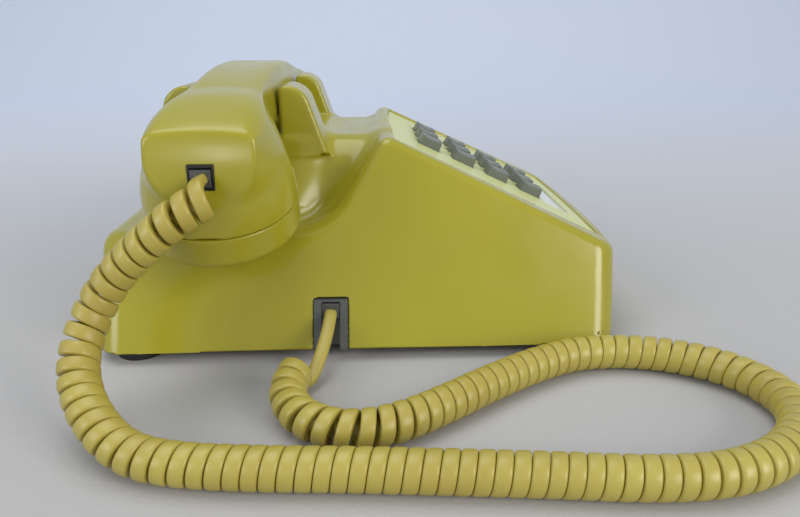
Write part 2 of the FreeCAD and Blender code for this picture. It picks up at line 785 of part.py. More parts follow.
def make_tray_brackets():
    """Two sheet-metal legs that stand on the base plate and hold the key tray by its sides."""
    front = S.face_y - TRAY_HALF_DEEP * cosine(S.slope) + 6
    rear = S.face_y + TRAY_HALF_DEEP * cosine(S.slope) - 6
    for side, name in ((-1, "tray_bracket_left"), (1, "tray_bracket_right")):
        body = new_body(name + "_body")
        middle = side * (TRAY_HALF_WIDE + S.sheet / 2)
        upright = sketch(body, name + "_upright", "YZ_Plane", middle)
        outline(upright, [
            (front, FLOOR_TOP),
            (rear, FLOOR_TOP),
            (rear, face_height(rear, TRAY_LOW + 6)),
            (front, face_height(front, TRAY_LOW + 6)),
        ])
        pad(body, upright, S.sheet, both_ways=True)
        foot = sketch(body, name + "_foot", "YZ_Plane", side * (TRAY_HALF_WIDE + 5))
        outline(foot, [
            (front, FLOOR_TOP),
            (rear, FLOOR_TOP),
            (rear, FLOOR_TOP + S.sheet),
            (front, FLOOR_TOP + S.sheet),
        ])
        pad(body, foot, 10, both_ways=True)
        node(name, body)


# ---------------------------------------------------------------- hook switch
ARCH_RADIUS = (S.arch_half * S.arch_half + S.arch_rise * S.arch_rise) / (2 * S.arch_rise)
ARCH_TOP = S.deck_top + S.rest_gap + S.deck_half * S.deck_half / (2 * ARCH_RADIUS)
GRIP_UNDER = ARCH_TOP - S.arch_rise


def arch_height(x):
    """Height of the handle's arched underside at x from the middle of the handset."""
    return ARCH_TOP - x * x / (2 * ARCH_RADIUS)


PIN_Y = S.cradle_y + S.lever_reach
LEVER_TOP = S.pin_z + S.pin_radius + 1.5
PLUNGER_LOW = LEVER_TOP + 0.4


def make_plungers():
    """Two buttons between the ears; the resting handset holds them down."""
    top = arch_height(PLUNGER_X + S.plunger_radius) - S.rest_gap
    collar_top = S.deck_top - S.wall - S.plunger_rise - 0.3
    for side, name in ((-1, "plunger_left"), (1, "plunger_right")):
        x = side * PLUNGER_X
        post = cylinder(name + "_post", S.plunger_radius, (PLUNGER_LOW + 4, top), x, S.cradle_y)
        collar = cylinder(name + "_collar", S.plunger_radius + 2,
                          (collar_top - 2, collar_top), x, S.cradle_y)
        nib = cylinder(name + "_nib", 1.2, (PLUNGER_LOW, PLUNGER_LOW + 4), x, S.cradle_y)
        node(name, join(name + "_joined", [post, collar, nib]))


def make_hook_lever():
    """Rocking lever: a barrel on the pin and two arms that reach under the plungers."""
    half = PLUNGER_X + 5
    low = LEVER_TOP - 1.5
    parts = [bar("lever_barrel", S.pin_radius + 1.5, (-half, half), PIN_Y, S.pin_z)]
    for side in (-1, 1):
        parts.append(box("lever_arm_%d" % side, (side * PLUNGER_X - 4, side * PLUNGER_X + 4),
                         (S.cradle_y - 3, PIN_Y), (low, LEVER_TOP)))
    bore = bar("lever_bore", S.pin_radius + 0.05, (-2 * half, 2 * half), PIN_Y, S.pin_z)
    return node("hook_lever", cut("lever_cut", join("lever_joined", parts), [bore]))


def make_hook_frame():
    """Bracket on the base plate that carries the lever's pin."""
    outer = PLUNGER_X + 8
    front = PIN_Y - 6
    parts = []
    for side in (-1, 1):
        inner_face = side * (outer - S.sheet)
        limits = (inner_face, side * outer) if side > 0 else (side * outer, inner_face)
        parts.append(box("frame_cheek_%d" % side, limits, (front, PIN_Y + 6),
                         (FLOOR_TOP, S.pin_z + 6)))
    parts.append(box("frame_floor", (-outer, outer), (front, PIN_Y + 6),
                     (FLOOR_TOP, FLOOR_TOP + S.sheet)))
    bore = bar("frame_bore", S.pin_radius, (-2 * outer, 2 * outer), PIN_Y, S.pin_z)
    node("hook_frame", cut("hook_frame_cut", join("hook_frame_joined", parts), [bore]))
    return node("hook_pin", bar("hook_pin_bar", S.pin_radius, (-outer - 2, outer + 2), PIN_Y, S.pin_z))


def make_hook_contacts():
    """Stack of contact springs and insulators that the hook lever works."""
    parts = []
    low = FLOOR_TOP + S.sheet
    for number in range(4):
        start = low + number * 6
        parts.append(box("insulator_%d" % number, (-12, 12), (PIN_Y - 5, PIN_Y + 5), (start, start + 5)))
        parts.append(box("contact_%d" % number, (-9, 9), (PIN_Y - 24, PIN_Y + 5),
                         (start + 5, start + 6)))
    return node("hook_contacts", join("contacts_joined", parts))


# ---------------------------------------------------------------- ringer and network
GONG_SHIFT = S.gong_radius + S.gong_gap / 2
COIL_Y = S.ringer_y - 46
WHEEL_Z = S.floor_gap - S.wheel_out + S.wheel_radius
CLAPPER_Y = COIL_Y + 14


def make_gongs():
    """Two brass bowls, open downward, each on a post of the ringer frame."""
    for side, name in ((-1, "gong_left"), (1, "gong_right")):
        body = new_body(name + "_body")
        drawing = sketch(body, name + "_section", "XZ_Plane")
        outline(drawing, [
            (2.0, S.gong_high - S.gong_wall),
            (S.gong_radius * 0.62, S.gong_high - S.gong_wall),
            (S.gong_radius - S.gong_wall, S.gong_high * 0.45),
            (S.gong_radius - S.gong_wall, 0),
            (S.gong_radius, 0),
            (S.gong_radius, S.gong_high * 0.5),
            (S.gong_radius * 0.66, S.gong_high),
            (2.0, S.gong_high),
        ])
        turn = body.newObject("PartDesign::Revolution", name + "_turned")
        turn.Profile = drawing
        turn.ReferenceAxis = (drawing, ["V_Axis"])
        turn.Angle = 360
        place(body, side * GONG_SHIFT, S.ringer_y, S.gong_z)
        node(name, body)


def make_gong_screws():
    """A screw on top of each gong."""
    parts = []
    seat = S.gong_z + S.gong_high
    for side in (-1, 1):
        x = side * GONG_SHIFT
        shank = cylinder("gong_shank_%d" % side, 2.0, (seat - S.gong_wall, seat), x, S.ringer_y)
        head = cylinder("gong_head_%d" % side, 3.5, (seat, seat + 2.4), x, S.ringer_y)
        parts.append(join("gong_screw_%d" % side, [shank, head]))
    gathered = hold("gong_screw_pair", parts)
    return node("gong_screws", gathered)


def make_ringer_frame():
    """Steel frame: a floor with two gong posts and two cheeks that hold the coil."""
    top = FLOOR_TOP + 2
    half = GONG_SHIFT + 8
    floor = box("ringer_floor", (-half, half),
                (COIL_Y - 10, S.ringer_y + 10), (FLOOR_TOP, top))
    parts = [floor]
    for side in (-1, 1):
        x = side * GONG_SHIFT
        parts.append(cylinder("gong_post_%d" % side, 3.5,
                              (FLOOR_TOP, S.gong_z + S.gong_high - S.gong_wall), x, S.ringer_y))
        face = side * S.coil_long / 2
        limits = (face, face + 2) if side > 0 else (face - 2, face)
        parts.append(box("coil_cheek_%d" % side, limits, (COIL_Y - 8, COIL_Y + 8),
                         (FLOOR_TOP, top + 2 * S.coil_radius + 2)))
    bore = cylinder("clapper_pin_bore", 1.0, (0, 2 * top), 0, CLAPPER_Y)
    return node("ringer_frame", cut("ringer_frame_cut", join("ringer_frame_joined", parts), [bore]))


def make_ringer_coil():
    """Coil wound between the two cheeks of the ringer frame."""
    z = FLOOR_TOP + 2 + S.coil_radius + 1
    half = S.coil_long / 2
    return node("ringer_coil", bar("ringer_coil_bar", S.coil_radius,
                                   (-half, half), COIL_Y, z))


def make_clapper():
    """Clapper on an upright pin: hub, arm, and the ball between the gongs."""
    low = S.gong_z + 1
    hub = cylinder("clapper_hub", 3.0, (low, low + 5), 0, CLAPPER_Y)
    arm = box("clapper_arm", (-0.6, 0.6), (CLAPPER_Y, S.ringer_y), (low + 3.4, low + 4.6))
    ball = cylinder("clapper_ball", S.ball_radius, (low + 2, low + 6), 0, S.ringer_y)
    bore = cylinder("clapper_bore", 1.05, (0, 3 * low), 0, CLAPPER_Y)
    node("clapper", cut("clapper_cut", join("clapper_joined", [hub, arm, ball]), [bore]))
    return node("clapper_pin", cylinder("clapper_pin_bar", 1.0, (FLOOR_TOP, low + 7), 0, CLAPPER_Y))


def make_volume_wheel():
    """Ribbed wheel on a cross pin in a small bracket; its rim shows through the base plate."""
    half = S.wheel_thick / 2
    wide = (WHEEL_X - 2 * half, WHEEL_X + 2 * half)
    disc = bar("wheel_disc", S.wheel_radius, (WHEEL_X - half, WHEEL_X + half), S.wheel_y, WHEEL_Z)
    grooves = []
    ribs = 18
    for number in range(ribs):
        angle = 2 * math.pi * number / ribs
        y = S.wheel_y + S.wheel_radius * math.cos(angle)
        z = WHEEL_Z + S.wheel_radius * math.sin(angle)
        grooves.append(bar("rib_%d" % number, 0.9, wide, y, z))
    bore = bar("disc_bore", 1.05, wide, S.wheel_y, WHEEL_Z)
    node("volume_wheel", cut("wheel_cut", disc, grooves + [bore]))
    ears = []
    for side in (-1, 1):
        face = WHEEL_X + side * (half + 1)
        limits = (face, face + 1.5) if side > 0 else (face - 1.5, face)
        ears.append(box("wheel_ear_%d" % side, limits, (S.wheel_y - 5, S.wheel_y + 5),
                        (FLOOR_TOP, WHEEL_Z + 3)))
    pin_bore = bar("ear_bore", 1.0, (WHEEL_X - 4 * half, WHEEL_X + 4 * half), S.wheel_y, WHEEL_Z)
    node("wheel_bracket", cut("wheel_bracket_cut", hold("wheel_ears", ears), [pin_bore]))
    reach = half + 3.5
    return node("wheel_pin", bar("wheel_pin_bar", 1.0, (WHEEL_X - reach, WHEEL_X + reach),
                                 S.wheel_y, WHEEL_Z))


def make_network_block():
    """Closed block with the speech network, with a row of screw terminals on top."""
    block = box("network_box", (-66, -14), (S.jack_y + 13, PIN_Y - 10), (FLOOR_TOP, FLOOR_TOP + 22))
    parts = [block]
    for number in range(5):
        parts.append(cylinder("terminal_%d" % number, 2.2,
                              (FLOOR_TOP + 22, FLOOR_TOP + 24), -60 + 10 * number,
                              S.jack_y + 20))
    return node("network_block", join("network_joined", parts))


# ---------------------------------------------------------------- jacks and plugs
def wall_x(z):
    """Outer face of the left wall at a height, as a negative X."""
    return (z - S.floor_gap) * tangent(S.lean) - S.width / 2


SOCKET_TOP = S.jack_top - 0.9
SOCKET_LOW = SOCKET_TOP - S.socket_high


def make_base_jack():
    """Insert in the left wall: a socket, and an open channel below it for the cord."""
    body = new_body("base_jack_body")
    back = -(S.width / 2 - S.jack_deep - 8)
    block = sketch(body, "base_jack_side", "XZ_Plane", -S.jack_y)
    outline(block, [
        (wall_x(S.floor_gap + 0.4), S.floor_gap + 0.4),
        (back, S.floor_gap + 0.4),
        (back, S.jack_top),
        (wall_x(S.jack_top), S.jack_top),
    ])
    pad(body, block, S.jack_wide, both_ways=True)
    channel = sketch(body, "base_jack_channel", "XZ_Plane", -S.jack_y)
    outline(channel, [
        (-S.width, 0),
        (wall_x(0) + S.channel_deep, 0),
        (wall_x(SOCKET_LOW) + S.channel_deep, SOCKET_LOW),
        (back - 1.5, SOCKET_LOW),
        (back - 1.5, SOCKET_TOP),
        (-S.width, SOCKET_TOP),
    ])
    hollow = body.newObject("PartDesign::Pocket", "base_jack_hollow")
    hollow.Profile = channel
    hollow.Type = "Length"
    bind(hollow, "Length", S.socket_wide)
    hollow.SideType = "Symmetric"
    node("base_jack", body)
    face = wall_x(SOCKET_LOW + S.plug_high / 2)
    return node("base_plug", box("base_plug_box", (face, face + S.plug_long),
                                 (S.jack_y - S.plug_wide / 2, S.jack_y + S.plug_wide / 2),
                                 (SOCKET_LOW, SOCKET_LOW + S.plug_high)))


def make_line_jack():
    """Modular line jack in the rear wall, left open."""
    block = box("line_block", (S.line_x - S.line_wide / 2, S.line_x + S.line_wide / 2),
                (REAR - S.line_deep, REAR), (FLOOR_TOP, FLOOR_TOP + S.line_high))
    socket = centred_box("line_socket_box", (S.line_x, REAR, FLOOR_TOP + 7.5),
                         (S.line_socket, 2 * (S.line_deep - 2.5), 8.5))
    latch = centred_box("line_latch_box", (S.line_x, REAR, FLOOR_TOP + 12.5),
                        (S.line_socket / 2, 2 * (S.line_deep - 2.5), 2))
    return node("line_jack", cut("line_jack_cut", block, [socket, latch]))


# ---------------------------------------------------------------- handset
def on_cup(thing, side):
    """Move a piece drawn upright round the seam's middle to the tilted cup on one side."""
    return place(thing, side * CUP_X, S.cradle_y, S.cup_z, DEEPWARD, side * S.cup_tilt)


def make_handle():
    """Hollow handle with a tilted cup at each end and a bay for the cord jack."""
    body = new_body("handle_body")
    side_view = sketch(body, "handle_side", "XZ_Plane", -S.cradle_y)
    top_bow = S.grip_top - S.ridge_z
    outline(side_view, [
        (-GRIP_END, GRIP_UNDER),
        (-S.arch_half, GRIP_UNDER),
        (S.arch_half, GRIP_UNDER),
        (GRIP_END, GRIP_UNDER),
        (GRIP_RIDGE, S.ridge_z),
        (-GRIP_RIDGE, S.ridge_z),
    ], {1: -S.arch_rise, 4: top_bow})
    pad(body, side_view, S.grip_wide, both_ways=True)
    parts = [body]
    hollows = [centred_box("handle_bore", (0, S.cradle_y, S.ridge_z - 1), (2 * CUP_X - 20, 14, 9))]
    for side, name in ((-1, "left"), (1, "right")):
        cone = doc.addObject("Part::Cone", "cup_" + name)
        bind(cone, "Radius1", S.cup_radius)
        bind(cone, "Radius2", S.cup_neck)
        bind(cone, "Height", S.cup_high)
        parts.append(on_cup(cone, side))
        spigot = cylinder("spigot_" + name, S.cup_radius - S.cap_wall - 0.05, (-S.cap_thread, 1))
        parts.append(on_cup(hold("spigot_%s_held" % name, [spigot]), side))
        mouth = cylinder("cup_mouth_" + name, S.cup_bore, (-S.cap_thread - 1, 0))
        taper = doc.addObject("Part::Cone", "cup_taper_" + name)
        bind(taper, "Radius1", S.cup_bore)
        bind(taper, "Radius2", S.cup_bore - (S.cup_radius - S.cup_neck) * S.cup_deep / S.cup_high)
        bind(taper, "Height", S.cup_deep)
        hollows.append(on_cup(join("cup_hollow_" + name, [mouth, taper]), side))
    hollows.append(handset_jack_block("jack_bay", 0))
    return node("handset_handle", cut("handle_cut", join("handle_joined", parts), hollows))


def handset_jack_block(name, shrink):
    """Block that the handset's jack fills."""
    return box(name, (-GRIP_END - 0.3 + shrink, -GRIP_END + S.plug_long + 3),
               (S.cradle_y - S.handset_jack_wide / 2, S.cradle_y + S.handset_jack_wide / 2),
               (S.handset_jack_z - S.handset_jack_high / 2,
                S.handset_jack_z + S.handset_jack_high / 2))


def make_handset_jack():
    """Jack insert in the handset's end, and the cord's plug in it."""
    block = handset_jack_block("handset_jack_box", 0)
    low = S.handset_jack_z - S.socket_high / 2
    socket = box("handset_socket", (-2 * GRIP_END, -GRIP_END + S.plug_long + 1),
                 (S.cradle_y - S.socket_wide / 2, S.cradle_y + S.socket_wide / 2),
                 (low, low + S.socket_high))
    node("handset_jack", cut("handset_jack_cut", block, [socket]))
    return node("handset_plug", box("handset_plug_box",
                                    (-GRIP_END - 1, -GRIP_END - 1 + S.plug_long),
                                    (S.cradle_y - S.plug_wide / 2, S.cradle_y + S.plug_wide / 2),
                                    (low, low + S.plug_high)))


def make_cap(name, side, holes_per_ring):
    """Screw cap over a cup, with rings of sound holes in its face."""
    shell = cylinder(name + "_shell", S.cup_radius, (-S.cap_high, 0))
    hollow = cylinder(name + "_hollow", S.cup_radius - S.cap_wall, (S.cap_wall - S.cap_high, 1))
    drills = []
    for ring, count in enumerate(holes_per_ring):
        reach = 6.0 * ring
        for number in range(count):
            angle = 2 * math.pi * number / count
            drills.append(cylinder("%s_hole_%d_%d" % (name, ring, number), 1.1,
                                   (-2 * S.cap_high, 0), reach * math.cos(angle),
                                   reach * math.sin(angle)))
    return node(name, on_cup(cut(name + "_cut", shell, [hollow] + drills), side))


def make_units():
    """Transmitter with its contact cup, and receiver, behind their caps."""
    face = S.cap_wall - S.cap_high
    thick = 8.0
    transmitter = cylinder("transmitter_disc", S.unit_radius, (face, face + thick))
    node("transmitter_unit", on_cup(hold("transmitter_alone", [transmitter]), -1))
    cup = cylinder("contact_cup_disc", S.unit_radius + 0.5, (face + thick, face + thick + 7))
    node("transmitter_cup", on_cup(hold("contact_cup_alone", [cup]), -1))
    receiver = cylinder("receiver_disc", S.unit_radius + 1, (face, face + thick + 4))
    return node("receiver_unit", on_cup(hold("receiver_alone", [receiver]), 1))


# ---------------------------------------------------------------- cord
# Points of each route: X from the housing's left side, Y and Z as in the whole.
COIL_ROUTE = [
    (-28.5, 64.0, 75.0),
    (-27.0, 75.5, 64.0),
    (-25.0, 86.5, 53.0),
    (-27.5, 95.0, 41.0),
    (-37.0, 99.5, 29.0),
    (-50.0, 97.5, 20.5),
    (-62.5, 89.0, 13.5),
    (-72.0, 76.0, 7.8),
    (-77.0, 58.0, 7.2),
    (-79.5, 32.0, 7.2),
    (-81.0, 4.0, 7.2),
    (-83.5, -26.0, 7.2),
    (-86.0, -55.0, 7.2),
    (-89.0, -82.0, 7.2),
    (-88.5, -106.0, 7.2),
    (-81.0, -127.0, 7.2),
    (-66.0, -144.0, 7.2),
    (-47.0, -150.0, 7.2),
    (-28.5, -143.0, 7.2),
    (-15.5, -127.0, 7.2),
    (-9.0, -106.0, 7.2),
    (-10.0, -84.0, 7.2),
    (-19.5, -64.0, 7.2),
    (-32.0, -45.0, 7.2),
    (-45.5, -27.0, 7.2),
    (-58.0, -9.0, 7.2),
    (-63.0, 10.5, 7.2),
    (-53.5, 26.0, 7.2),
    (-38.5, 32.5, 7.2),
    (-23.5, 31.5, 7.2),
]
BASE_LEAD_ROUTE = [
    (-5.0, 17.8, 15.5),
    (-13.5, 19.5, 10.0),
    (-21.0, 23.0, 6.0),
    (-24.5, 29.5, 6.0),
]
HANDSET_LEAD_ROUTE = [
    (-30.5, 60.5, 77.5),
    (-30.0, 65.5, 72.5),
]


def rounded_path(points, name):
    """Join straight runs by tangent arcs as large as the runs allow, and print their radii."""
    spots = [Vector(*point) for point in points]
    edges = []
    last = spots[0]
    radii = []
    for before, corner, after in zip(spots, spots[1:], spots[2:]):
        into = corner - before
        out = after - corner
        turn = into.getAngle(out)
        shorter = min(into.Length, out.Length)
        setback = 0.45 * shorter
        radii.append(setback / math.tan(turn / 2))
        start = corner - into.normalize() * setback
        end = corner + out.normalize() * setback
        inward = ((start + end) * 0.5 - corner).normalize()
        apex = corner + inward * (radii[-1] / math.cos(turn / 2) - radii[-1])
        edges.append(Part.LineSegment(last, start).toShape())
        edges.append(Part.Arc(start, apex, end).toShape())
        last = end
    edges.append(Part.LineSegment(last, spots[-1]).toShape())
    print(name, "radii of its bends:", [round(radius, 1) for radius in radii])
    return Part.Wire(edges)


def make_tube(name, points, diameter):
    """Sweep a round section along the rounded path."""
    path = rounded_path(points, name)
    start = Vector(*points[0])
    along = (Vector(*points[1]) - start).normalize()
    section = Part.Wire([Part.makeCircle(diameter / 2, start, along)])
    tube = path.makePipeShell([section], True, False)
    expected = math.pi * diameter * diameter / 4 * path.Length
    print(name, "length", round(path.Length, 1), "volume", round(tube.Volume), round(expected))
    if abs(tube.Volume - expected) > 0.02 * expected:
        raise ValueError(name + ": the tube's volume doesn't match its length")
    thing = doc.addObject("Part::Feature", name + "_tube")
    thing.Shape = tube
    return node(name, thing)


def beside_housing(route):
    """Give a route's points their places in the whole, from the housing's left side."""
    return [(x - S.width.value / 2, y, z) for x, y, z in route]


def make_lead(name, mouth, route):
    """A plain lead that leaves its plug squarely and then follows its route."""
    mouth = tuple(size.value for size in mouth)
    square = (mouth[0] - 1.1 * S.cable.value, mouth[1], mouth[2])
    make_tube(name, [mouth, square] + beside_housing(route), S.cable.value)


def make_cord():
    """The curly cord as one fat tube, and its two plain leads."""
    make_tube("cord_coil", beside_housing(COIL_ROUTE), S.coil_outer.value)
    plug_face = wall_x(SOCKET_LOW + S.plug_high / 2)
    plug_middle = SOCKET_LOW + S.plug_high / 2
    make_lead("cord_lead_base", (plug_face, S.jack_y, plug_middle), BASE_LEAD_ROUTE)
    plug_middle = S.handset_jack_z - (S.socket_high - S.plug_high) / 2
    make_lead("cord_lead_handset", (-GRIP_END - 1, S.cradle_y, plug_middle), HANDSET_LEAD_ROUTE)


# ---------------------------------------------------------------- the whole telephone
def make_all():
    make_housing()
    make_base_plate()
    make_feet()
    make_housing_screws()
    make_faceplate()
    make_number_card()
    for name, x, y in key_spots():
        make_key(name, x, y)
    make_key_tray()
    make_key_springs()
    make_keypad_board()
    make_tray_brackets()
    make_plungers()
    make_hook_lever()
    make_hook_frame()
    make_hook_contacts()
    make_ringer_frame()
    make_ringer_coil()
    make_gongs()
    make_gong_screws()
    make_clapper()
    make_volume_wheel()
    make_network_block()
    make_base_jack()
    make_line_jack()
    make_handle()
    make_handset_jack()
    make_cap("transmitter_cap", -1, [1, 6, 12])
    make_cap("receiver_cap", 1, [1, 6])
    make_units()
    make_cord()


def check_document():
    """Stop if any object failed or any sub-part has no sound shape."""
    doc.recompute()
    for thing in doc.Objects:
        if "Invalid" in thing.State or "Error" in thing.State:
            raise RuntimeError("failed: " + thing.Name + " " + str(thing.State))
    for thing in NODES:
        if thing.Shape.isNull() or not thing.Shape.isValid():
            raise RuntimeError("unsound: " + thing.Label)


def write_parts():
    """Write each sub-part to its own file."""
    os.makedirs("parts", exist_ok=True)
    for thing in NODES:
        thing.Shape.exportStep("parts/%s.step" % thing.Label)
        print("%-20s solids %d volume %.0f" % (thing.Label, len(thing.Shape.Solids),
                                               thing.Shape.Volume))


make_all()
check_document()
write_parts()
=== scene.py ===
import math

import bpy
import numpy as np
from mathutils import Matrix, Vector


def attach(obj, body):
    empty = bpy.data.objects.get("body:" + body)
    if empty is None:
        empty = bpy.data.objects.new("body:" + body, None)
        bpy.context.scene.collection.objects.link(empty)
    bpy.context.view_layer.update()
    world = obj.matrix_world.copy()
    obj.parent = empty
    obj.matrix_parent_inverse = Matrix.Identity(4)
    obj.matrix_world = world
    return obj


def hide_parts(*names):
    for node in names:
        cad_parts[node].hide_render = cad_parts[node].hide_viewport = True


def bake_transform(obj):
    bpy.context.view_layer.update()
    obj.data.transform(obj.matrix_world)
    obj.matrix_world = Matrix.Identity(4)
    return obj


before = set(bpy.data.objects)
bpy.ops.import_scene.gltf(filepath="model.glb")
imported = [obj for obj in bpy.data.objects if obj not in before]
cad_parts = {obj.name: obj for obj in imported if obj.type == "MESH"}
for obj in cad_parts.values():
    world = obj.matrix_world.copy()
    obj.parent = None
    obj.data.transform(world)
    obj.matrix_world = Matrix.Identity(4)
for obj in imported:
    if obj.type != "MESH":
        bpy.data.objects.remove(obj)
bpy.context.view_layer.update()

# ------------------------------------------------------------------ table, camera and light
# The telephone stands on a pale cloth-covered table, seen from its left side and a little above,
# in soft daylight from a window behind the viewer and from the sky overhead.
MM = 0.001
EYE = Vector((-0.3451, -0.0017, 0.1332))
YAW = math.radians(2.4)
PITCH = math.radians(19.61)
LENS = 29.26
CLOTH = "#B9B6B1"
CLOTH_SHADE = "#ADABA8"
# Painted light: the paler, bluer colour the cloth is given further back.
PAINTED_LIGHT_BEHIND = "#D5DBE6"
SWEEP_START = 0.9
SWEEP_RADIUS = 1.0
THREAD = 1.6 * MM
FOLD = 350 * MM
PAINTED_LIGHT_FROM = -0.05
TABLE_FRONT = -2.0
TABLE_HALF = 5
BACKDROP_TOP = 4.0
SWEEP_STEPS = 24
ROOM_COLOUR = "#DCE3EE"
ROOM_LIGHT = 0.62


def linear(colour):
    """An sRGB hex colour as linear red, green, blue and a full alpha."""
    parts = [int(colour[i:i + 2], 16) / 255 for i in (1, 3, 5)]
    return [p / 12.92 if p <= 0.04045 else ((p + 0.055) / 1.055) ** 2.4 for p in parts] + [1.0]


def add(tree, kind, fields=None, **sockets):
    """Add a node, set its fields, and set or link its sockets; spaces in names are written _."""
    node = tree.nodes.new(kind)
    for name, value in (fields or {}).items():
        setattr(node, name, value)
    for name, value in sockets.items():
        key = int(name[3:]) if name.startswith("at_") else name.replace("_", " ")
        socket = node.inputs[key]
        if isinstance(value, bpy.types.NodeSocket):
            tree.links.new(value, socket)
        else:
            socket.default_value = value
    return node


def new_material(name):
    """An empty material with its output node."""
    material = bpy.data.materials.new(name)
    material.use_nodes = True
    material.node_tree.nodes.clear()
    return material, material.node_tree, material.node_tree.nodes.new("ShaderNodeOutputMaterial")


def link_object(name, data):
    """A new object in the scene that holds the data."""
    thing = bpy.data.objects.new(name, data)
    bpy.context.scene.collection.objects.link(thing)
    return thing


camera = link_object("camera", bpy.data.cameras.new("camera"))
camera.data.lens = LENS
camera.data.clip_start = 0.01
camera.location = EYE
look = Vector((math.cos(YAW) * math.cos(PITCH), -math.sin(YAW) * math.cos(PITCH), -math.sin(PITCH)))
camera.rotation_euler = look.to_track_quat("-Z", "Y").to_euler()
bpy.context.scene.camera = camera
bpy.context.scene.view_settings.view_transform = "Standard"

cloth, tree, output = new_material("white_woven_tablecloth")
place = add(tree, "ShaderNodeTexCoord")
folds = add(tree, "ShaderNodeTexNoise", Vector=place.outputs["Object"], Scale=1 / FOLD, Detail=2.0)
weave = add(tree, "ShaderNodeTexVoronoi", Vector=place.outputs["Object"], Scale=1 / THREAD)
tone = add(tree, "ShaderNodeMix", {"data_type": "RGBA"}, at_0=folds.outputs["Fac"],
           at_6=linear(CLOTH), at_7=linear(CLOTH_SHADE))
relief = add(tree, "ShaderNodeBump", Strength=0.25, Distance=0.3 * MM, Height=weave.outputs["Distance"])
spot = add(tree, "ShaderNodeSeparateXYZ", Vector=place.outputs["Object"])
# From under the telephone back to the foot of the sweep the cloth is painted paler and bluer: painted
# light that stands in for the bright light on the wall behind, which the lamps do not give the sweep.
painted_light_share = add(tree, "ShaderNodeMapRange", Value=spot.outputs["X"], From_Min=PAINTED_LIGHT_FROM,
              From_Max=SWEEP_START)
painted_light_tone = add(tree, "ShaderNodeMix", {"data_type": "RGBA"}, at_0=painted_light_share.outputs["Result"],
             at_6=tone.outputs[2], at_7=linear(PAINTED_LIGHT_BEHIND))
fabric = add(tree, "ShaderNodeBsdfPrincipled", Base_Color=painted_light_tone.outputs[2], Roughness=0.9,
             Normal=relief.outputs["Normal"])
tree.links.new(fabric.outputs[0], output.inputs["Surface"])

# The cloth lies flat on the table and rises behind it in one wide sweep, with no edge in view.
sweep = [(TABLE_FRONT, 0.0), (SWEEP_START, 0.0)]
for k in range(1, SWEEP_STEPS + 1):
    rise = math.pi / 2 * k / SWEEP_STEPS
    sweep.append((SWEEP_START + SWEEP_RADIUS * math.sin(rise), SWEEP_RADIUS * (1 - math.cos(rise))))
sweep.append((SWEEP_START + SWEEP_RADIUS, BACKDROP_TOP))
corners = [(x, y, z) for x, z in sweep for y in (-TABLE_HALF, TABLE_HALF)]
table = bpy.data.meshes.new("table")
table.from_pydata(corners, [], [(2 * k + 1, 2 * k, 2 * k + 2, 2 * k + 3) for k in range(len(sweep) - 1)])
table.shade_smooth()
table = link_object("table", table)
table.data.materials.append(cloth)

world = bpy.data.worlds.new("pale_room")
bpy.context.scene.world = world
world.use_nodes = True
world.node_tree.nodes["Background"].inputs["Color"].default_value = linear(ROOM_COLOUR)
world.node_tree.nodes["Background"].inputs["Strength"].default_value = ROOM_LIGHT


def window(name, place, target, wide, high, power, colour):
    """A soft rectangular light that faces a point."""
    light = bpy.data.lights.new(name, "AREA")
    light.shape = "RECTANGLE"
    light.size = wide
    light.size_y = high
    light.energy = power
    light.color = linear(colour)[:3]
    thing = link_object(name, light)
    thing.location = place
    thing.rotation_euler = (Vector(target) - Vector(place)).to_track_quat("-Z", "Y").to_euler()


window("sky", (0.1, 0.3, 1.7), (0, 0, 0), 1.6, 1.2, 14, "#F4F7FF")
window("window_right", (-1.4, -1.5, 0.85), (0, 0, 0.05), 1.0, 1.1, 24, "#FFFDF6")
window("window_left", (-1.0, 1.3, 0.7), (0, 0, 0.05), 0.8, 0.8, 9, "#F2F4FF")
window("small_window", (-1.3, 0.33, 0.16), (-0.12, 0.055, 0.09), 0.10, 0.13, 0.35, "#FFFFFF")

# ------------------------------------------------------------------ curly cord
# The handset cord is one length of soft PVC cable with a flat outer face, wound into a coil about
# 14 mm across and then heat-set; its two ends are left straight and go into the modular plugs.
# It leaves the handset's end, lies on the table in a long loop and curls back to the left wall.
CABLE_WIDE = 5.15 * MM
CABLE_THICK = 3.9 * MM
WIND_RADIUS = 5.0 * MM
CLOSE_PITCH = 5.3 * MM
HANGING_STRETCH = 0.14
HANGING_FROM, HANGING_OVER = 20 * MM, 40 * MM
TIGHTEST_BEND = 18 * MM
BEND_SPAN = 61
TOUCHING_RADIUS = 4.6 * MM
HANDSET_START, HANDSET_SQUARE = 1.5 * MM, 2.5 * MM
BASE_START = 4 * MM
STEP = 0.21 * MM
SECTION_SIDES = 20
CORD_COLOUR = "#B9AD50"
CORD_DEEP = "#A08A38"
CORD_DIRT = "#8A6A35"
HANDSET_EXIT = (-0.1200, 0.0585, 0.0828)
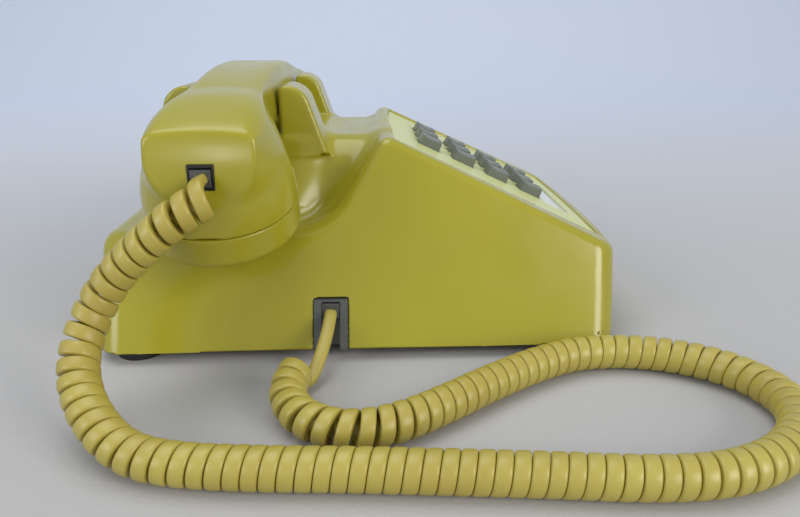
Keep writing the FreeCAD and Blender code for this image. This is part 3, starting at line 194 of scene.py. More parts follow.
coil_route = [
    (-0.1262, 0.0563, 0.0775), (-0.1288, 0.0645, 0.0730), (-0.1290, 0.0732, 0.0660),
    (-0.1280, 0.0830, 0.0575), (-0.1285, 0.0915, 0.0485), (-0.1310, 0.0975, 0.0387),
    (-0.1390, 0.1005, 0.0288), (-0.1500, 0.0980, 0.0205), (-0.1625, 0.0890, 0.0135),
    (-0.1720, 0.0760, 0.0078), (-0.1770, 0.0580, 0.0072), (-0.1795, 0.0320, 0.0072),
    (-0.1810, 0.0040, 0.0072), (-0.1835, -0.0260, 0.0072), (-0.1860, -0.0550, 0.0072),
    (-0.1890, -0.0820, 0.0072), (-0.1885, -0.1060, 0.0072), (-0.1810, -0.1270, 0.0072),
    (-0.1660, -0.1440, 0.0072), (-0.1470, -0.1500, 0.0072), (-0.1285, -0.1430, 0.0072),
    (-0.1155, -0.1270, 0.0072), (-0.1090, -0.1060, 0.0072), (-0.1100, -0.0840, 0.0072),
    (-0.1195, -0.0640, 0.0072), (-0.1320, -0.0450, 0.0072), (-0.1455, -0.0270, 0.0072),
    (-0.1575, -0.0090, 0.0072), (-0.1615, 0.0080, 0.0072), (-0.1545, 0.0225, 0.0072),
    (-0.1425, 0.0298, 0.0074), (-0.1310, 0.0308, 0.0088), (-0.1215, 0.0268, 0.0105),
]
base_lead = [
    (-0.1195, 0.0222, 0.0062), (-0.1125, 0.0195, 0.0115), (-0.1045, 0.0178, 0.0160),
    (-0.0975, 0.0170, 0.0190), (-0.0925, 0.0170, 0.0190),
]


def smooth_line(points):
    """The smooth line that a cord takes along given points, as closely spaced places."""
    curve = bpy.data.curves.new("route", "CURVE")
    curve.dimensions = "3D"
    curve.resolution_u = 24
    spline = curve.splines.new("NURBS")
    spline.points.add(len(points) - 1)
    for point, place in zip(spline.points, points):
        point.co = (*place, 1.0)
    spline.order_u = 3
    spline.use_endpoint_u = True
    thing = link_object("route", curve)
    bpy.context.view_layer.update()
    line = bpy.data.meshes.new_from_object(thing.evaluated_get(bpy.context.evaluated_depsgraph_get()))
    places = np.array([vertex.co for vertex in line.vertices])
    bpy.data.objects.remove(thing)
    bpy.data.meshes.remove(line)
    return places


def along(places, step):
    """The same line again, as places at even steps."""
    runs = np.linalg.norm(np.diff(places, axis=0), axis=1)
    keep = np.concatenate([[True], runs > 1e-9])
    places = places[keep]
    travelled = np.concatenate([[0], np.cumsum(np.linalg.norm(np.diff(places, axis=0), axis=1))])
    even = np.arange(0, travelled[-1], step)
    return np.stack([np.interp(even, travelled, places[:, k]) for k in range(3)], axis=1)


def unit(vectors):
    """The same directions with a length of 1."""
    return vectors / np.linalg.norm(vectors, axis=-1, keepdims=True)


def smoothed(values, reach):
    """Each value replaced by the mean of its neighbours."""
    kernel = np.ones(reach) / reach
    padded = np.concatenate([np.repeat(values[:1], reach // 2), values,
                             np.repeat(values[-1:], reach - 1 - reach // 2)])
    return np.convolve(padded, kernel, "valid")


def tube_mesh(name, line, outward, outline):
    """A tube along a line: outline holds the section's (width, height), height along outward."""
    forward = unit(np.gradient(line, axis=0))
    up = unit(outward - forward * np.sum(outward * forward, axis=1, keepdims=True))
    aside = np.cross(forward, up)
    rings = (line[:, None] + outline[None, :, 0:1] * aside[:, None] + outline[None, :, 1:2] * up[:, None])
    count, sides = rings.shape[:2]
    base = (np.arange(count - 1) * sides)[:, None]
    here = np.arange(sides)[None]
    following = (here + 1) % sides
    quads = np.stack([base + here, base + following, base + sides + following, base + sides + here],
                     axis=-1)
    faces = quads.reshape(-1, 4).tolist()
    faces.append(list(range(sides))[::-1])
    faces.append([(count - 1) * sides + k for k in range(sides)])
    mesh = bpy.data.meshes.new(name)
    mesh.from_pydata(rings.reshape(-1, 3).tolist(), [], faces)
    mesh.validate()
    mesh.shade_smooth()
    return mesh


axis_line = along(smooth_line(coil_route), STEP)
heading = unit(np.gradient(axis_line, axis=0))
bend = np.linalg.norm(np.gradient(heading, axis=0), axis=1) / STEP
bend = smoothed(np.minimum(bend, 1 / TIGHTEST_BEND), BEND_SPAN)
side = np.zeros_like(heading)
side[0] = unit(np.array([0, 0, 1]) - heading[0] * heading[0, 2])
for i in range(1, len(heading)):
    carried = side[i - 1] - heading[i] * np.dot(side[i - 1], heading[i])
    side[i] = carried / np.linalg.norm(carried)
across = np.cross(heading, side)

# The winding opens where the coil hangs and where it bends, because its turns touch inside the bend.
hanging = np.clip((axis_line[:, 2] - HANGING_FROM) / HANGING_OVER, 0, 1)
pitch = CLOSE_PITCH * (1 + HANGING_STRETCH * hanging) / (1 - TOUCHING_RADIUS * bend)
angle = -np.cumsum(2 * math.pi / pitch) * STEP
outward = np.cos(angle)[:, None] * side + np.sin(angle)[:, None] * across
last_turn = len(outward) - int(CLOSE_PITCH / STEP)
end = last_turn + int(np.argmin(outward[last_turn:, 2]))
outward = outward[:end]
winding = axis_line[:end] + WIND_RADIUS * outward

# The straight ends leave the winding along its own direction and go into the two plugs.
first, last = unit(winding[0] - winding[1]), unit(winding[-1] - winding[-2])
to_handset = [tuple(winding[0]), tuple(winding[0] + HANDSET_START * first),
              (HANDSET_EXIT[0] - HANDSET_SQUARE, *HANDSET_EXIT[1:]), HANDSET_EXIT]
to_base = [tuple(winding[-1]), tuple(winding[-1] + BASE_START * last)] + base_lead
handset_end = along(smooth_line(to_handset), STEP)[:0:-1]
base_end = along(smooth_line(to_base), STEP)[1:]
cable_line = np.concatenate([handset_end, winding, base_end])
outward = np.concatenate([np.repeat(outward[:1], len(handset_end), axis=0), outward,
                          np.repeat(outward[-1:], len(base_end), axis=0)])

# Section of the cable: round towards the coil's middle, flat with rounded corners outside.
turn = np.linspace(0, 2 * math.pi, SECTION_SIDES, endpoint=False)
width = CABLE_WIDE / 2 * np.sign(np.cos(turn)) * np.abs(np.cos(turn)) ** 0.5
flatness = np.where(np.sin(turn) > 0, 0.42, 0.85)
height = CABLE_THICK / 2 * np.sign(np.sin(turn)) * np.abs(np.sin(turn)) ** flatness
section = np.stack([width, height], axis=1)

pvc, tree, output = new_material("extruded_soft_pvc")
place = add(tree, "ShaderNodeTexCoord")
stain = add(tree, "ShaderNodeTexNoise", Vector=place.outputs["Object"], Scale=1 / (28 * MM), Detail=3.0)
specks = add(tree, "ShaderNodeTexNoise", Vector=place.outputs["Object"], Scale=1 / (2.2 * MM), Detail=2.0)
dirt = add(tree, "ShaderNodeMapRange", Value=specks.outputs["Fac"], From_Min=0.70, From_Max=0.80,
           To_Min=0.0, To_Max=0.35)
tone = add(tree, "ShaderNodeMix", {"data_type": "RGBA"}, at_0=stain.outputs["Fac"],
           at_6=linear(CORD_COLOUR), at_7=linear(CORD_DEEP))
soiled = add(tree, "ShaderNodeMix", {"data_type": "RGBA"}, at_0=dirt.outputs["Result"],
             at_6=tone.outputs[2], at_7=linear(CORD_DIRT))
sheen = add(tree, "ShaderNodeMapRange", Value=stain.outputs["Fac"], To_Min=0.30, To_Max=0.46)
skin = add(tree, "ShaderNodeTexNoise", Vector=place.outputs["Object"], Scale=1 / (0.5 * MM))
relief = add(tree, "ShaderNodeBump", Strength=0.12, Distance=0.05 * MM, Height=skin.outputs["Fac"])
jacket = add(tree, "ShaderNodeBsdfPrincipled", Base_Color=soiled.outputs[2], IOR=1.53,
             Roughness=sheen.outputs["Result"], Normal=relief.outputs["Normal"])
tree.links.new(jacket.outputs[0], output.inputs["Surface"])

cord = link_object("curly_cord", tube_mesh("curly_cord", cable_line, outward, section))
cord.data.materials.append(pvc)
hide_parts("cord_coil", "cord_lead_base", "cord_lead_handset")
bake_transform(cord)

# ------------------------------------------------------------------ housing
# One injection moulding in glossy olive-green ABS, 3 mm thick and open below: the sloping keypad
# part, the low rear part, and the cradle with its four ears. Every edge has the mould's rounding,
# so it shows as a bright line, and the inner corners run together in soft hollows. The base plate
# hides its inside, so only its outer skin and the rims of its openings are drawn. Sizes are in mm.
HALF_REAR = 100.0
HALF_FRONT = 98.0
REAR = 116.0
FRONT_BOW = 12.0
BOTTOM = 5.0
WALL = 3.0
SLOPE = math.radians(25)
FACE_Y, FACE_Z = -55.4, 64.9
RIM = 1.0
RIDGE_Y, RIDGE_Z = -6.5, 88.0
SKIRT_TOP = 50.0
SKIRT_FRONT = -15.0
DECK_TOP = 86.0
DECK_HALF = 48.0
CRADLE_Y = 58.5
SLOT_HALF = 18.5
EAR_TOP = 108.8
EAR_IN, EAR_OUT = 22.0, 48.0
PLATE_TOP, PLATE_END = 47.8, -56.0
PLATE_TOP_HALF, PLATE_END_HALF = 54.0, 60.0
PLATE_BOW = 2.5
JACK_Y, JACK_HALF, JACK_TOP = 17.0, 7.15, 24.4
PLUNGER_X, PLUNGER_HOLE, PLUNGER_ROOM = 35.0, 4.7, 9.0
LINE_X, LINE_HALF, LINE_TOP = -50.0, 8.1, 22.6
SIDE_LEAN, FRONT_LEAN, LEAN_OVER = 25, 5, 110
FRONT_CORNER, REAR_CORNER = 9, 12
BACK_ACROSS, BACK_UP = 0.82, 0.572
EAR_FOOT, EAR_TIP, EAR_EDGE, EAR_INSIDE = 37.4, 7, 1.8, 3.5
EAR_ACROSS, EAR_UP, EAR_ROOT = 0.947, 0.322, 78
NECK_HALF, NECK_SPREAD, NECK_EDGE = 43, 0.30, 13
NECK_REAR, NECK_FRONT = 40, -18
COLUMN_WALL, COLUMN_CORNER, COLUMN_EDGE = 20.5, 13, 2
COLUMN_SPREAD, SPREAD_TOP, SPREAD_HIGH = 10, 80, 24
SKIRT_HOLLOW, NECK_HOLLOW, COLUMN_HOLLOW, EAR_HOLLOW = 11, 7, 5, 3
PLATE_GAP, PLATE_EDGE, PLATE_ROOM = 0.35, 0.9, 11
PLUNGER_RIM, PLUNGER_FLOOR = 0.6, 70
JACK_GAP, JACK_HEADROOM, JACK_BACK = 0.1, 0.7, 76
LINE_BACK, RECESS = 102, 3
RIDGE_EDGE = 4
SIDE_EDGE, SIDE_EDGE_MORE, EDGE_FROM, EDGE_OVER = 3, 4, -5, 25
SKIN_DEPTH = 7.5
ABS_COLOUR = "#A79F2B"
ABS_DEEP = "#988E1E"
ABS_GRAIN = 0.9 * MM
FLOW_MARK, HANDLED_PATCH = 60 * MM, 18 * MM


def both(a, b, radius=0.0):
    """Where two forms overlap, with the edge between them rounded."""
    outside = np.hypot(np.maximum(a + radius, 0), np.maximum(b + radius, 0))
    return np.minimum(np.maximum(a, b), -radius) + outside


def either(a, b, radius=0.0):
    """Two forms together, with the inner corner between them filled to a radius."""
    return -both(-a, -b, radius)


def half_width(y):
    """Half the housing's width at its bottom."""
    return HALF_FRONT + (HALF_REAR - HALF_FRONT) * (y + REAR) / (2 * REAR)


def face_height(y, z):
    """Distance above the faceplate's surface."""
    return (z - FACE_Z) * math.cos(SLOPE) - (y - FACE_Y) * math.sin(SLOPE)


def up_slope(y, z):
    """Distance from the middle of the keypad, up the slope."""
    return (y - FACE_Y) * math.cos(SLOPE) + (z - FACE_Z) * math.sin(SLOPE)


def plan_form(x, y, z):
    """The leaning sides, the bowed front and the upright rear."""
    lean = np.radians(SIDE_LEAN + FRONT_LEAN * np.clip((RIDGE_Y - y) / LEAN_OVER, 0, 1) ** 1.5)
    sides = (np.abs(x) - half_width(y)) * np.cos(lean) + (z - BOTTOM) * np.sin(lean)
    bow_radius = (HALF_FRONT ** 2 + FRONT_BOW ** 2) / (2 * FRONT_BOW)
    front = np.hypot(x, y + REAR - bow_radius) - bow_radius
    return both(both(sides, front, FRONT_CORNER), y - REAR, REAR_CORNER)


def ears_form(x, y, z):
    """The four ears, drawn as one by their distance from the cradle's middle."""
    away, beside = np.abs(y - CRADLE_Y), np.abs(x)
    slant = (away - EAR_FOOT) * EAR_ACROSS + (z - DECK_TOP) * EAR_UP
    crest = both(z - EAR_TOP, slant, EAR_TIP)
    blade = both(crest, SLOT_HALF - away, EAR_INSIDE)
    cheeks = np.abs(beside - (EAR_IN + EAR_OUT) / 2) - (EAR_OUT - EAR_IN) / 2
    return both(both(blade, cheeks, EAR_EDGE), EAR_ROOT - z)


def solid_form(x, y, z):
    """The housing's outside, as if it were solid and had no openings."""
    beside = np.abs(x)
    back = (y - RIDGE_Y) * BACK_ACROSS + (z - RIDGE_Z) * BACK_UP
    keypad_part = both(face_height(y, z) - RIM, back, RIDGE_EDGE)
    low = either(keypad_part, both(z - SKIRT_TOP, SKIRT_FRONT - y), SKIRT_HOLLOW)
    edge = SIDE_EDGE + SIDE_EDGE_MORE * np.clip((y - EDGE_FROM) / EDGE_OVER, 0, 1)
    low = both(low, plan_form(x, y, z), edge)
    neck_side = (beside - NECK_HALF - (DECK_TOP - z) * NECK_SPREAD) * 0.95
    neck = both(neck_side, z - DECK_TOP + 1, NECK_EDGE)
    neck = np.maximum(neck, np.maximum(y - NECK_REAR, NECK_FRONT - y))
    spread = COLUMN_SPREAD * np.clip((SPREAD_TOP - z) / SPREAD_HIGH, 0, 1) ** 1.6
    column_wall = np.abs(y - CRADLE_Y) - SLOT_HALF - COLUMN_WALL + spread * 0.5
    column = both(beside - DECK_HALF - spread, column_wall, COLUMN_CORNER)
    column = both(column, z - DECK_TOP, COLUMN_EDGE)
    whole = either(low, neck, NECK_HOLLOW)
    whole = either(whole, column, COLUMN_HOLLOW)
    whole = either(whole, ears_form(x, y, z), EAR_HOLLOW)
    return np.maximum(whole, BOTTOM - z)


def plate_edge(x, y, z):
    """Distance outside the faceplate's outline, on the slope."""
    slope_y = up_slope(y, z)
    share = (slope_y - PLATE_END) / (PLATE_TOP - PLATE_END)
    half = PLATE_END_HALF + (PLATE_TOP_HALF - PLATE_END_HALF) * share
    top = slope_y - PLATE_TOP - PLATE_BOW * (1 - (x / PLATE_TOP_HALF) ** 2)
    low_end = PLATE_END - slope_y - PLATE_BOW * (1 - (x / PLATE_END_HALF) ** 2)
    return np.maximum(np.maximum(np.abs(x) - half, top), low_end)


def housing_form(x, y, z):
    """The housing with its openings: faceplate, plungers, jacks and the recess of the base plate."""
    whole = solid_form(x, y, z)
    face = np.maximum(plate_edge(x, y, z) - PLATE_GAP, -PLATE_ROOM - face_height(y, z))
    whole = both(whole, -face, PLATE_EDGE)
    below = np.where(z > DECK_TOP - WALL, PLUNGER_HOLE, PLUNGER_ROOM)
    plungers = np.maximum(np.hypot(np.abs(x) - PLUNGER_X, y - CRADLE_Y) - below, PLUNGER_FLOOR - z)
    whole = both(whole, -plungers, PLUNGER_RIM)
    base_jack = np.maximum(np.abs(y - JACK_Y) - JACK_HALF - JACK_GAP, z - JACK_TOP - JACK_HEADROOM)
    base_jack = np.maximum(base_jack, x + JACK_BACK)
    line_jack = np.maximum(np.abs(x - LINE_X) - LINE_HALF, z - LINE_TOP)
    line_jack = np.maximum(line_jack, LINE_BACK - y)
    recess = np.maximum(plan_form(x, y, BOTTOM + 0 * z) + WALL, z - BOTTOM - RECESS)
    return np.maximum(np.maximum(whole, -base_jack), np.maximum(-line_jack, -recess))


def slopes(form, points, reach=0.02):
    """Gradient of a form at each point."""
    parts = []
    for axis in np.eye(3) * reach:
        parts.append((form(*(points + axis).T) - form(*(points - axis).T)) / (2 * reach))
    return np.stack(parts, axis=1)


def skin_of(form, low, high, step):
    """Points and four-sided faces of the surface where a form is 0; the points lie on the surface."""
    axes = [np.arange(a, b + step, step) for a, b in zip(low, high)]
    field = form(*np.meshgrid(*axes, indexing="ij"))
    inside = field < 0
    cells = [slice(None, -1), slice(1, None)]
    corners = [(i, j, k) for i in (0, 1) for j in (0, 1) for k in (0, 1)]
    filled = sum(inside[cells[i], cells[j], cells[k]].astype(np.int8) for i, j, k in corners)
    spots = np.argwhere((filled > 0) & (filled < 8))
    index = np.full(filled.shape, -1)
    index[tuple(spots.T)] = np.arange(len(spots))
    total, hits = np.zeros((len(spots), 3)), np.zeros((len(spots), 1))
    for first in corners:
        for axis in range(3):
            if first[axis] == 1:
                continue
            a = spots + first
            b = a.copy()
            b[:, axis] += 1
            value_a, value_b = field[tuple(a.T)], field[tuple(b.T)]
            crossed = (value_a < 0) != (value_b < 0)
            share = np.where(crossed, value_a / np.where(crossed, value_a - value_b, 1), 0)[:, None]
            total += np.where(crossed[:, None], a + share * (b - a), 0)
            hits += crossed[:, None]
    points = np.array(low) + total / hits * step
    faces = []
    for axis in range(3):
        here, cell = np.moveaxis(inside, axis, 0), np.moveaxis(index, axis, 0)
        i, j, k = np.nonzero(here[:-1, 1:-1, 1:-1] != here[1:, 1:-1, 1:-1])
        quad = np.stack([cell[i, j, k], cell[i, j + 1, k], cell[i, j + 1, k + 1], cell[i, j, k + 1]],
                        axis=1)
        turned = here[i, j + 1, k + 1] == (axis == 1)
        quad[turned] = quad[turned][:, ::-1]
        faces.append(quad)
    for _ in range(4):
        slope = slopes(form, points)
        move = form(*points.T)[:, None] * slope / np.maximum(np.sum(slope ** 2, axis=1), 0.2)[:, None]
        length = np.linalg.norm(move, axis=1, keepdims=True)
        points = points - move * np.minimum(1, 0.4 * step / np.maximum(length, 1e-9))
    return points, np.concatenate(faces)


def moulding(name, form, low, high, step, keep=None, placement=None):
    """An object whose surface is a form's, with the form's own slopes as its shading."""
    points, faces = skin_of(form, low, high, step)
    if keep is not None:
        faces = faces[keep(points[faces].mean(axis=1))]
        used, renumbered = np.unique(faces, return_inverse=True)
        points, faces = points[used], renumbered.reshape(-1, 4)
    normals = unit(slopes(form, points))
    if placement is not None:
        turned = np.array(placement.to_3x3())
        points = points @ turned.T + np.array(placement.translation)
        normals = normals @ turned.T
    mesh = bpy.data.meshes.new(name)
    mesh.from_pydata((points * MM).tolist(), [], faces.tolist())
    mesh.shade_smooth()
    mesh.normals_split_custom_set_from_vertices(normals.tolist())
    return link_object(name, mesh)


def moulded(name, colour, deeper, rough_low, rough_high, grain, ior=1.54):
    """A moulded or coated surface: faint flow marks in the colour, handled patches, a fine skin."""
    material, tree, output = new_material(name)
    place = add(tree, "ShaderNodeTexCoord")
    flow = add(tree, "ShaderNodeTexNoise", Vector=place.outputs["Object"], Scale=1 / FLOW_MARK,
               Detail=2.0)
    tone = add(tree, "ShaderNodeMix", {"data_type": "RGBA"}, at_0=flow.outputs["Fac"],
               at_6=linear(colour), at_7=linear(deeper))
    handled = add(tree, "ShaderNodeTexNoise", Vector=place.outputs["Object"], Scale=1 / HANDLED_PATCH,
                  Detail=5.0)
    shine = add(tree, "ShaderNodeMapRange", Value=handled.outputs["Fac"], From_Min=0.3, From_Max=0.7,
                To_Min=rough_low, To_Max=rough_high)
    peel = add(tree, "ShaderNodeTexNoise", Vector=place.outputs["Object"], Scale=1 / grain, Detail=1.0)
    relief = add(tree, "ShaderNodeBump", Strength=0.05, Distance=0.05 * MM, Height=peel.outputs["Fac"])
    plastic = add(tree, "ShaderNodeBsdfPrincipled", Base_Color=tone.outputs[2], IOR=ior,
                  Roughness=shine.outputs["Result"], Normal=relief.outputs["Normal"])
    tree.links.new(plastic.outputs[0], output.inputs["Surface"])
    return material


# Glossy ABS: sharp but slightly uneven reflections over a deep even colour.
glossy_abs = moulded("glossy_olive_abs", ABS_COLOUR, ABS_DEEP, 0.16, 0.26, ABS_GRAIN)
housing = moulding("housing_moulding", housing_form, (-102, -118, 4), (102, 118, 111), 1.25,
                   keep=lambda middle: solid_form(*middle.T) > -SKIN_DEPTH)
housing.data.materials.append(glossy_abs)
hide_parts("housing")
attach(housing, "base")

# ------------------------------------------------------------------ handset
# A hollow handle moulded in the same glossy ABS as the housing, with a round cup at each end, each
# closed by a screw cap with sound holes. Its top is flat with chamfered sides and ends in a ridge,
# below which a nearly flat face spreads down to the round seam of the cup.
GRIP_TOP = 117.0
RIDGE_X, RIDGE_HEIGHT = 117.0, 97.6
END_X = 119.0
TOP_HALF = 15.5
GRIP_HALF = 17.4
ARCH_TOP, ARCH_RADIUS = 90.92, 244.25
GRIP_UNDER = 82.92
END_SPREAD = 5.0
SPREAD_START = 55.0
CUP_X, CUP_Z = 90.5, 69.3
CUP_TILT = math.radians(18)
CUP_RADIUS = 30.0
CUP_HIGH = 38.0
CAP_HIGH = 14.0
CAP_EDGE = 4.0
CAP_WALL = 2.4
SEAM = 0.15
CHAMFER_ACROSS, CHAMFER_UP, CHAMFER_EDGE = 0.86, 0.51, 2.2
SIDE_ROUND, UNDER_ROUND, UNDER_END_ROUND = 7, 6, 20
SPREAD_HEIGHT = 14
END_DRAFT, DRAFT_FROM, DRAFT_OVER = 2, 80, 20
BAR_END_EDGE, END_EDGE, CUP_HOLLOW = 1.2, 1.4, 12
SEAM_EDGE = 0.5
JACK_MID_Z, BAY_HALF_Y, BAY_HALF_Z, BAY_BACK = 83.5, 4.1, 3.9, 106
HOLE_RING, HOLE_RADIUS = 6, 1.1
TOP_RADIUS = (RIDGE_X ** 2 + (GRIP_TOP - RIDGE_HEIGHT) ** 2) / (2 * (GRIP_TOP - RIDGE_HEIGHT))


def cup_axes(x, y, z):
    """A point's place in the cup of its own side: along and across its axis, from its seam."""
    out, rise = np.abs(x) - CUP_X, z - CUP_Z
    up = out * math.sin(CUP_TILT) + rise * math.cos(CUP_TILT)
    aside = out * math.cos(CUP_TILT) - rise * math.sin(CUP_TILT)
    return up, np.hypot(aside, y - CRADLE_Y)


def handset_form(x, y, z):
    """Handle and cups, down to the seams."""
    beside, depth = np.abs(x), np.abs(y - CRADLE_Y)
    top = np.hypot(x, z - GRIP_TOP + TOP_RADIUS) - TOP_RADIUS
    spread = END_SPREAD * np.clip((beside - SPREAD_START) / (END_X - SPREAD_START), 0, 1) ** 1.3
    spread = spread * np.clip((z - GRIP_UNDER) / SPREAD_HEIGHT, 0, 1)
    chamfer = (depth - TOP_HALF - spread * 0.8) * CHAMFER_ACROSS + top * CHAMFER_UP
    arch = ARCH_RADIUS - np.hypot(x, z - ARCH_TOP + ARCH_RADIUS)
    under = both(arch, GRIP_UNDER - z, UNDER_END_ROUND)
    bar = both(both(top, chamfer, CHAMFER_EDGE), depth - GRIP_HALF - spread, SIDE_ROUND)
    bar = both(bar, under, UNDER_ROUND)
    end = beside - END_X + END_DRAFT * np.clip((z - DRAFT_FROM) / DRAFT_OVER, 0, 3) ** 2
    bar = both(bar, end, BAR_END_EDGE)
    up, across = cup_axes(x, y, z)
    reach = np.sqrt((across / CUP_RADIUS) ** 2 + (np.maximum(up, 0) / CUP_HIGH) ** 2)
    dome = (reach - 1) * CUP_RADIUS * 0.9
    dome = both(dome, top + 2)
    whole = both(either(bar, dome, CUP_HOLLOW), end, END_EDGE)
    whole = both(whole, SEAM - up, SEAM_EDGE)
    bay = np.maximum(depth - BAY_HALF_Y, np.abs(z - JACK_MID_Z) - BAY_HALF_Z)
    bay = np.maximum(bay, x + BAY_BACK)
    return np.maximum(whole, -bay)


handset = moulding("handset_moulding", handset_form, (-121, 26, 56), (121, 91, 119), 1.0)
handset.data.materials.append(glossy_abs)
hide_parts("handset_handle")
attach(handset, "handset")


def cap_form(rings):
    """A screw cap's shape in its own axes, with rings of sound holes."""
    def form(x, y, z):
        across = np.hypot(x, y)
        shell = both(both(across - CUP_RADIUS, -CAP_HIGH - z, CAP_EDGE), z + SEAM, SEAM_EDGE)
        hollow = np.maximum(across - CUP_RADIUS + CAP_WALL, CAP_WALL - CAP_HIGH - z)
        shell = np.maximum(shell, -hollow)
        for ring, count in enumerate(rings):
            for k in range(count):
                spot_x = HOLE_RING * ring * math.cos(2 * math.pi * k / count)
                spot_y = HOLE_RING * ring * math.sin(2 * math.pi * k / count)
                shell = np.maximum(shell, HOLE_RADIUS - np.hypot(x - spot_x, y - spot_y))
        return shell
    return form


for side_of, name, rings in ((-1, "transmitter_cap", (1, 6, 12)), (1, "receiver_cap", (1, 6))):
    seat = (Matrix.Translation((side_of * CUP_X, CRADLE_Y, CUP_Z))
            @ Matrix.Rotation(side_of * CUP_TILT, 4, "Y"))
    cap = moulding(name + "_moulding", cap_form(rings), (-31, -31, -15), (31, 31, 1), 0.85,
                   placement=seat)
    cap.data.materials.append(glossy_abs)
    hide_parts(name)
    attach(cap, "handset")

# ------------------------------------------------------------------ keypad
# Twelve keys moulded in satin grey-green ABS, each with a dished top, tapering sides and a printed
# sign. They come up through a pale green faceplate, above a paper number card and its clear window.
KEY_PITCH = 19.05
KEY_HALF_X, KEY_HALF_Y = 6.15, 5.6
KEY_RISE = 4.9
KEY_TAPER = 0.09
DISH_RADIUS = 22.0
DISH_DEPTH = 0.7
KEY_ROOT = -2.6
KEY_CORNER, KEY_RIM = 1.0, 0.45
SIGN_HIGH = 4.6
SIGN_LIFT = 0.04
KEYS = [(digit, digit) for digit in "123456789"] + [("star", "*"), ("0", "0"), ("pound", "#")]
on_slope = Matrix.Translation((0, FACE_Y, FACE_Z)) @ Matrix.Rotation(SLOPE, 4, "X")


def key_form(x, y, z):
    """A key about its own middle, with z up from the faceplate."""
    taper = KEY_TAPER * z
    sides = both(np.abs(x) - KEY_HALF_X + taper, np.abs(y) - KEY_HALF_Y + taper, KEY_CORNER)
    dish = DISH_RADIUS - np.hypot(y, z - KEY_RISE + DISH_DEPTH - DISH_RADIUS)
    return both(both(sides, dish, KEY_RIM), KEY_ROOT - z)


def printed(name, text, high, place, colour):
    """A printed sign: flat letters that follow the dish of a key."""
    words = bpy.data.curves.new(name, "FONT")
    words.body = text
    words.size = high
    words.align_x, words.align_y = "CENTER", "CENTER"
    thing = link_object(name + "_curve", words)
    bpy.context.view_layer.update()
    mesh = bpy.data.meshes.new_from_object(thing.evaluated_get(bpy.context.evaluated_depsgraph_get()))
    bpy.data.objects.remove(thing)
    for vertex in mesh.vertices:
        sag = KEY_RISE - DISH_DEPTH + vertex.co.y ** 2 / (2 * DISH_RADIUS) + SIGN_LIFT
        vertex.co = (place @ Vector((vertex.co.x, vertex.co.y, sag))) * MM
    sign = link_object(name, mesh)
    sign.data.materials.append(colour)
    return sign


# Satin ABS scatters the room's light evenly; the printing is a little duller still.
key_abs = moulded("satin_grey_green_abs", "#6C7065", "#62675C", 0.36, 0.48, 0.6 * MM)
ink = moulded("white_printing_ink", "#D9DACF", "#CFD0C4", 0.45, 0.6, 0.3 * MM)
for number, (name, text) in enumerate(KEYS):
    column, row = number % 3 - 1, 1.5 - number // 3
    place = on_slope @ Matrix.Translation((column * KEY_PITCH, row * KEY_PITCH, 0))
    key = moulding("key_" + name + "_moulding", key_form, (-6.8, -6.2, -3), (6.8, 6.2, 5.4), 0.4,
                   placement=place)
    key.data.materials.append(key_abs)
    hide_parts("key_" + name)
    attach(key, "key_" + name + "_body")
    sign = printed("key_" + name + "_sign", text, SIGN_HIGH, place, ink)
    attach(sign, "key_" + name + "_body")

# ------------------------------------------------------------------ small outer parts
# The faceplate is satin pale green ABS; the two modular jacks are dark grey ABS inserts that hold
# clear plugs; four black rubber feet are pressed into the steel base plate. Their shapes come from
# the solid model as they are, with their sharp edges broken as on the real mouldings.


def break_edges(name, width, material):
    """Round the sharp edges of a solid-model piece and give it its material."""
    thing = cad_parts[name]
    weld = thing.modifiers.new("weld", "WELD")
    weld.merge_threshold = 0.002 * MM
    bevel = thing.modifiers.new("broken_edges", "BEVEL")
    bevel.width = width * MM
    bevel.segments = 2
    bevel.limit_method = "ANGLE"
    bevel.angle_limit = math.radians(40)
    give(name, material)


def give(name, material):
    """Give a solid-model piece its material."""
    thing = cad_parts[name]
    thing.data.materials.clear()
    thing.data.materials.append(material)


# The jacks shine in small uneven patches, the rubber and the card hardly at all.
plate_abs = moulded("satin_pale_green_abs", "#CDD08A", "#C4C77F", 0.30, 0.42, 0.7 * MM)
jack_abs = moulded("dark_grey_abs", "#565853", "#4B4D49", 0.28, 0.42, 0.6 * MM)
black_abs = moulded("black_abs", "#232220", "#1B1A19", 0.22, 0.34, 0.6 * MM)
rubber = moulded("black_rubber", "#1F1A1A", "#2A2425", 0.62, 0.8, 0.4 * MM, 1.52)
card_paper = moulded("coated_white_card", "#E6E7E2", "#DEDFD8", 0.55, 0.7, 0.25 * MM)


def clear_plastic(name, through, cover):
    """Clear moulded plastic with faint wear: through is how glassy it is, cover how much it veils."""
    material, tree, output = new_material(name)
    place = add(tree, "ShaderNodeTexCoord")
    wear = add(tree, "ShaderNodeTexNoise", Vector=place.outputs["Object"], Scale=1 / (4 * MM), Detail=4.0)
    haze = add(tree, "ShaderNodeMapRange", Value=wear.outputs["Fac"], To_Min=0.03, To_Max=0.14)
    surface = add(tree, "ShaderNodeBsdfPrincipled", Base_Color=linear("#F4F6F4"), IOR=1.585, Alpha=cover,
                  Roughness=haze.outputs["Result"], Transmission_Weight=through)
    tree.links.new(surface.outputs[0], output.inputs["Surface"])
    return material


plug_clear = clear_plastic("clear_polycarbonate", 0.93, 1.0)
window_clear = clear_plastic("clear_acrylic_sheet", 0.0, 0.22)

give("faceplate", plate_abs)
give("number_card", card_paper)
give("card_window", window_clear)
break_edges("base_jack", 0.35, jack_abs)
break_edges("handset_jack", 0.3, black_abs)
break_edges("line_jack", 0.3, black_abs)
break_edges("base_plug", 0.25, plug_clear)
break_edges("handset_plug", 0.25, plug_clear)
for foot in ("foot_front_left", "foot_front_right", "foot_rear_left", "foot_rear_right"):
    break_edges(foot, 0.8, rubber)

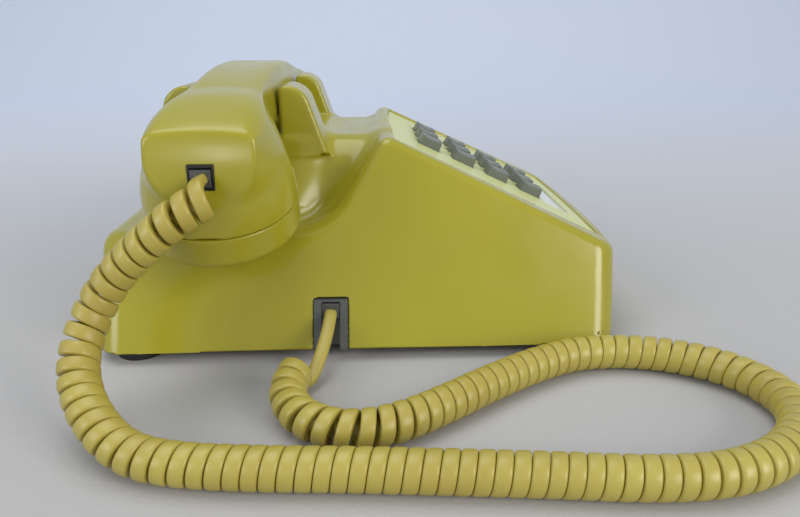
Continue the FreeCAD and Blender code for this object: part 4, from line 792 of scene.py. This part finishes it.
# ------------------------------------------------------------------ works
# What the housing holds: a zinc-plated steel base plate, brackets and frames, brass gongs, a coil of
# enamelled copper, moulded nylon levers and plungers, a phenolic board, and the handset's units.


def metal(name, colour, rough_low, rough_high, grain):
    """Sheet or turned metal with rolling marks, so its reflections are soft and uneven."""
    material, tree, output = new_material(name)
    place = add(tree, "ShaderNodeTexCoord")
    stretched = add(tree, "ShaderNodeMapping", Vector=place.outputs["Object"], Scale=(1.0, 14.0, 14.0))
    marks = add(tree, "ShaderNodeTexNoise", Vector=stretched.outputs["Vector"], Scale=1 / grain,
                Detail=4.0)
    shine = add(tree, "ShaderNodeMapRange", Value=marks.outputs["Fac"], From_Min=0.3, From_Max=0.7,
                To_Min=rough_low, To_Max=rough_high)
    relief = add(tree, "ShaderNodeBump", Strength=0.08, Distance=0.05 * MM, Height=marks.outputs["Fac"])
    surface = add(tree, "ShaderNodeBsdfPrincipled", Base_Color=linear(colour), Metallic=1.0,
                  Roughness=shine.outputs["Result"], Normal=relief.outputs["Normal"])
    tree.links.new(surface.outputs[0], output.inputs["Surface"])
    return material


# Plated steel and brass mirror the room softly; the wound copper looks ribbed and dull.
zinc_steel = metal("zinc_plated_steel", "#B9BBB6", 0.28, 0.45, 12 * MM)
screw_steel = metal("nickel_plated_steel", "#C6C4BD", 0.18, 0.32, 6 * MM)
brass = metal("gong_brass", "#C9A656", 0.16, 0.34, 10 * MM)
copper = metal("enamelled_copper_wire", "#8E4A26", 0.25, 0.4, 3 * MM)
unit_metal = metal("anodised_aluminium", "#A9ABA8", 0.32, 0.48, 8 * MM)
nylon = moulded("natural_nylon", "#D8D3C2", "#CDC7B3", 0.38, 0.5, 0.8 * MM, 1.53)
phenolic = moulded("phenolic_board", "#6B4526", "#5D3B20", 0.34, 0.5, 0.5 * MM, 1.58)

WORKS = [
    (zinc_steel, 0.2, ("base_plate", "tray_bracket_left", "tray_bracket_right", "hook_frame",
                       "ringer_frame", "wheel_bracket", "clapper")),
    (screw_steel, 0.15, ("housing_screws", "gong_screws", "hook_pin", "clapper_pin", "wheel_pin",
                         "key_springs")),
    (brass, 0.3, ("gong_left", "gong_right")),
    (copper, 0.3, ("ringer_coil",)),
    (nylon, 0.3, ("key_tray", "plunger_left", "plunger_right", "hook_lever", "hook_contacts",
                  "network_block", "volume_wheel", "transmitter_cup")),
    (phenolic, 0.15, ("keypad_board",)),
    (unit_metal, 0.4, ("transmitter_unit", "receiver_unit")),
]
for material, width, names in WORKS:
    for name in names:
        break_edges(name, width, material)
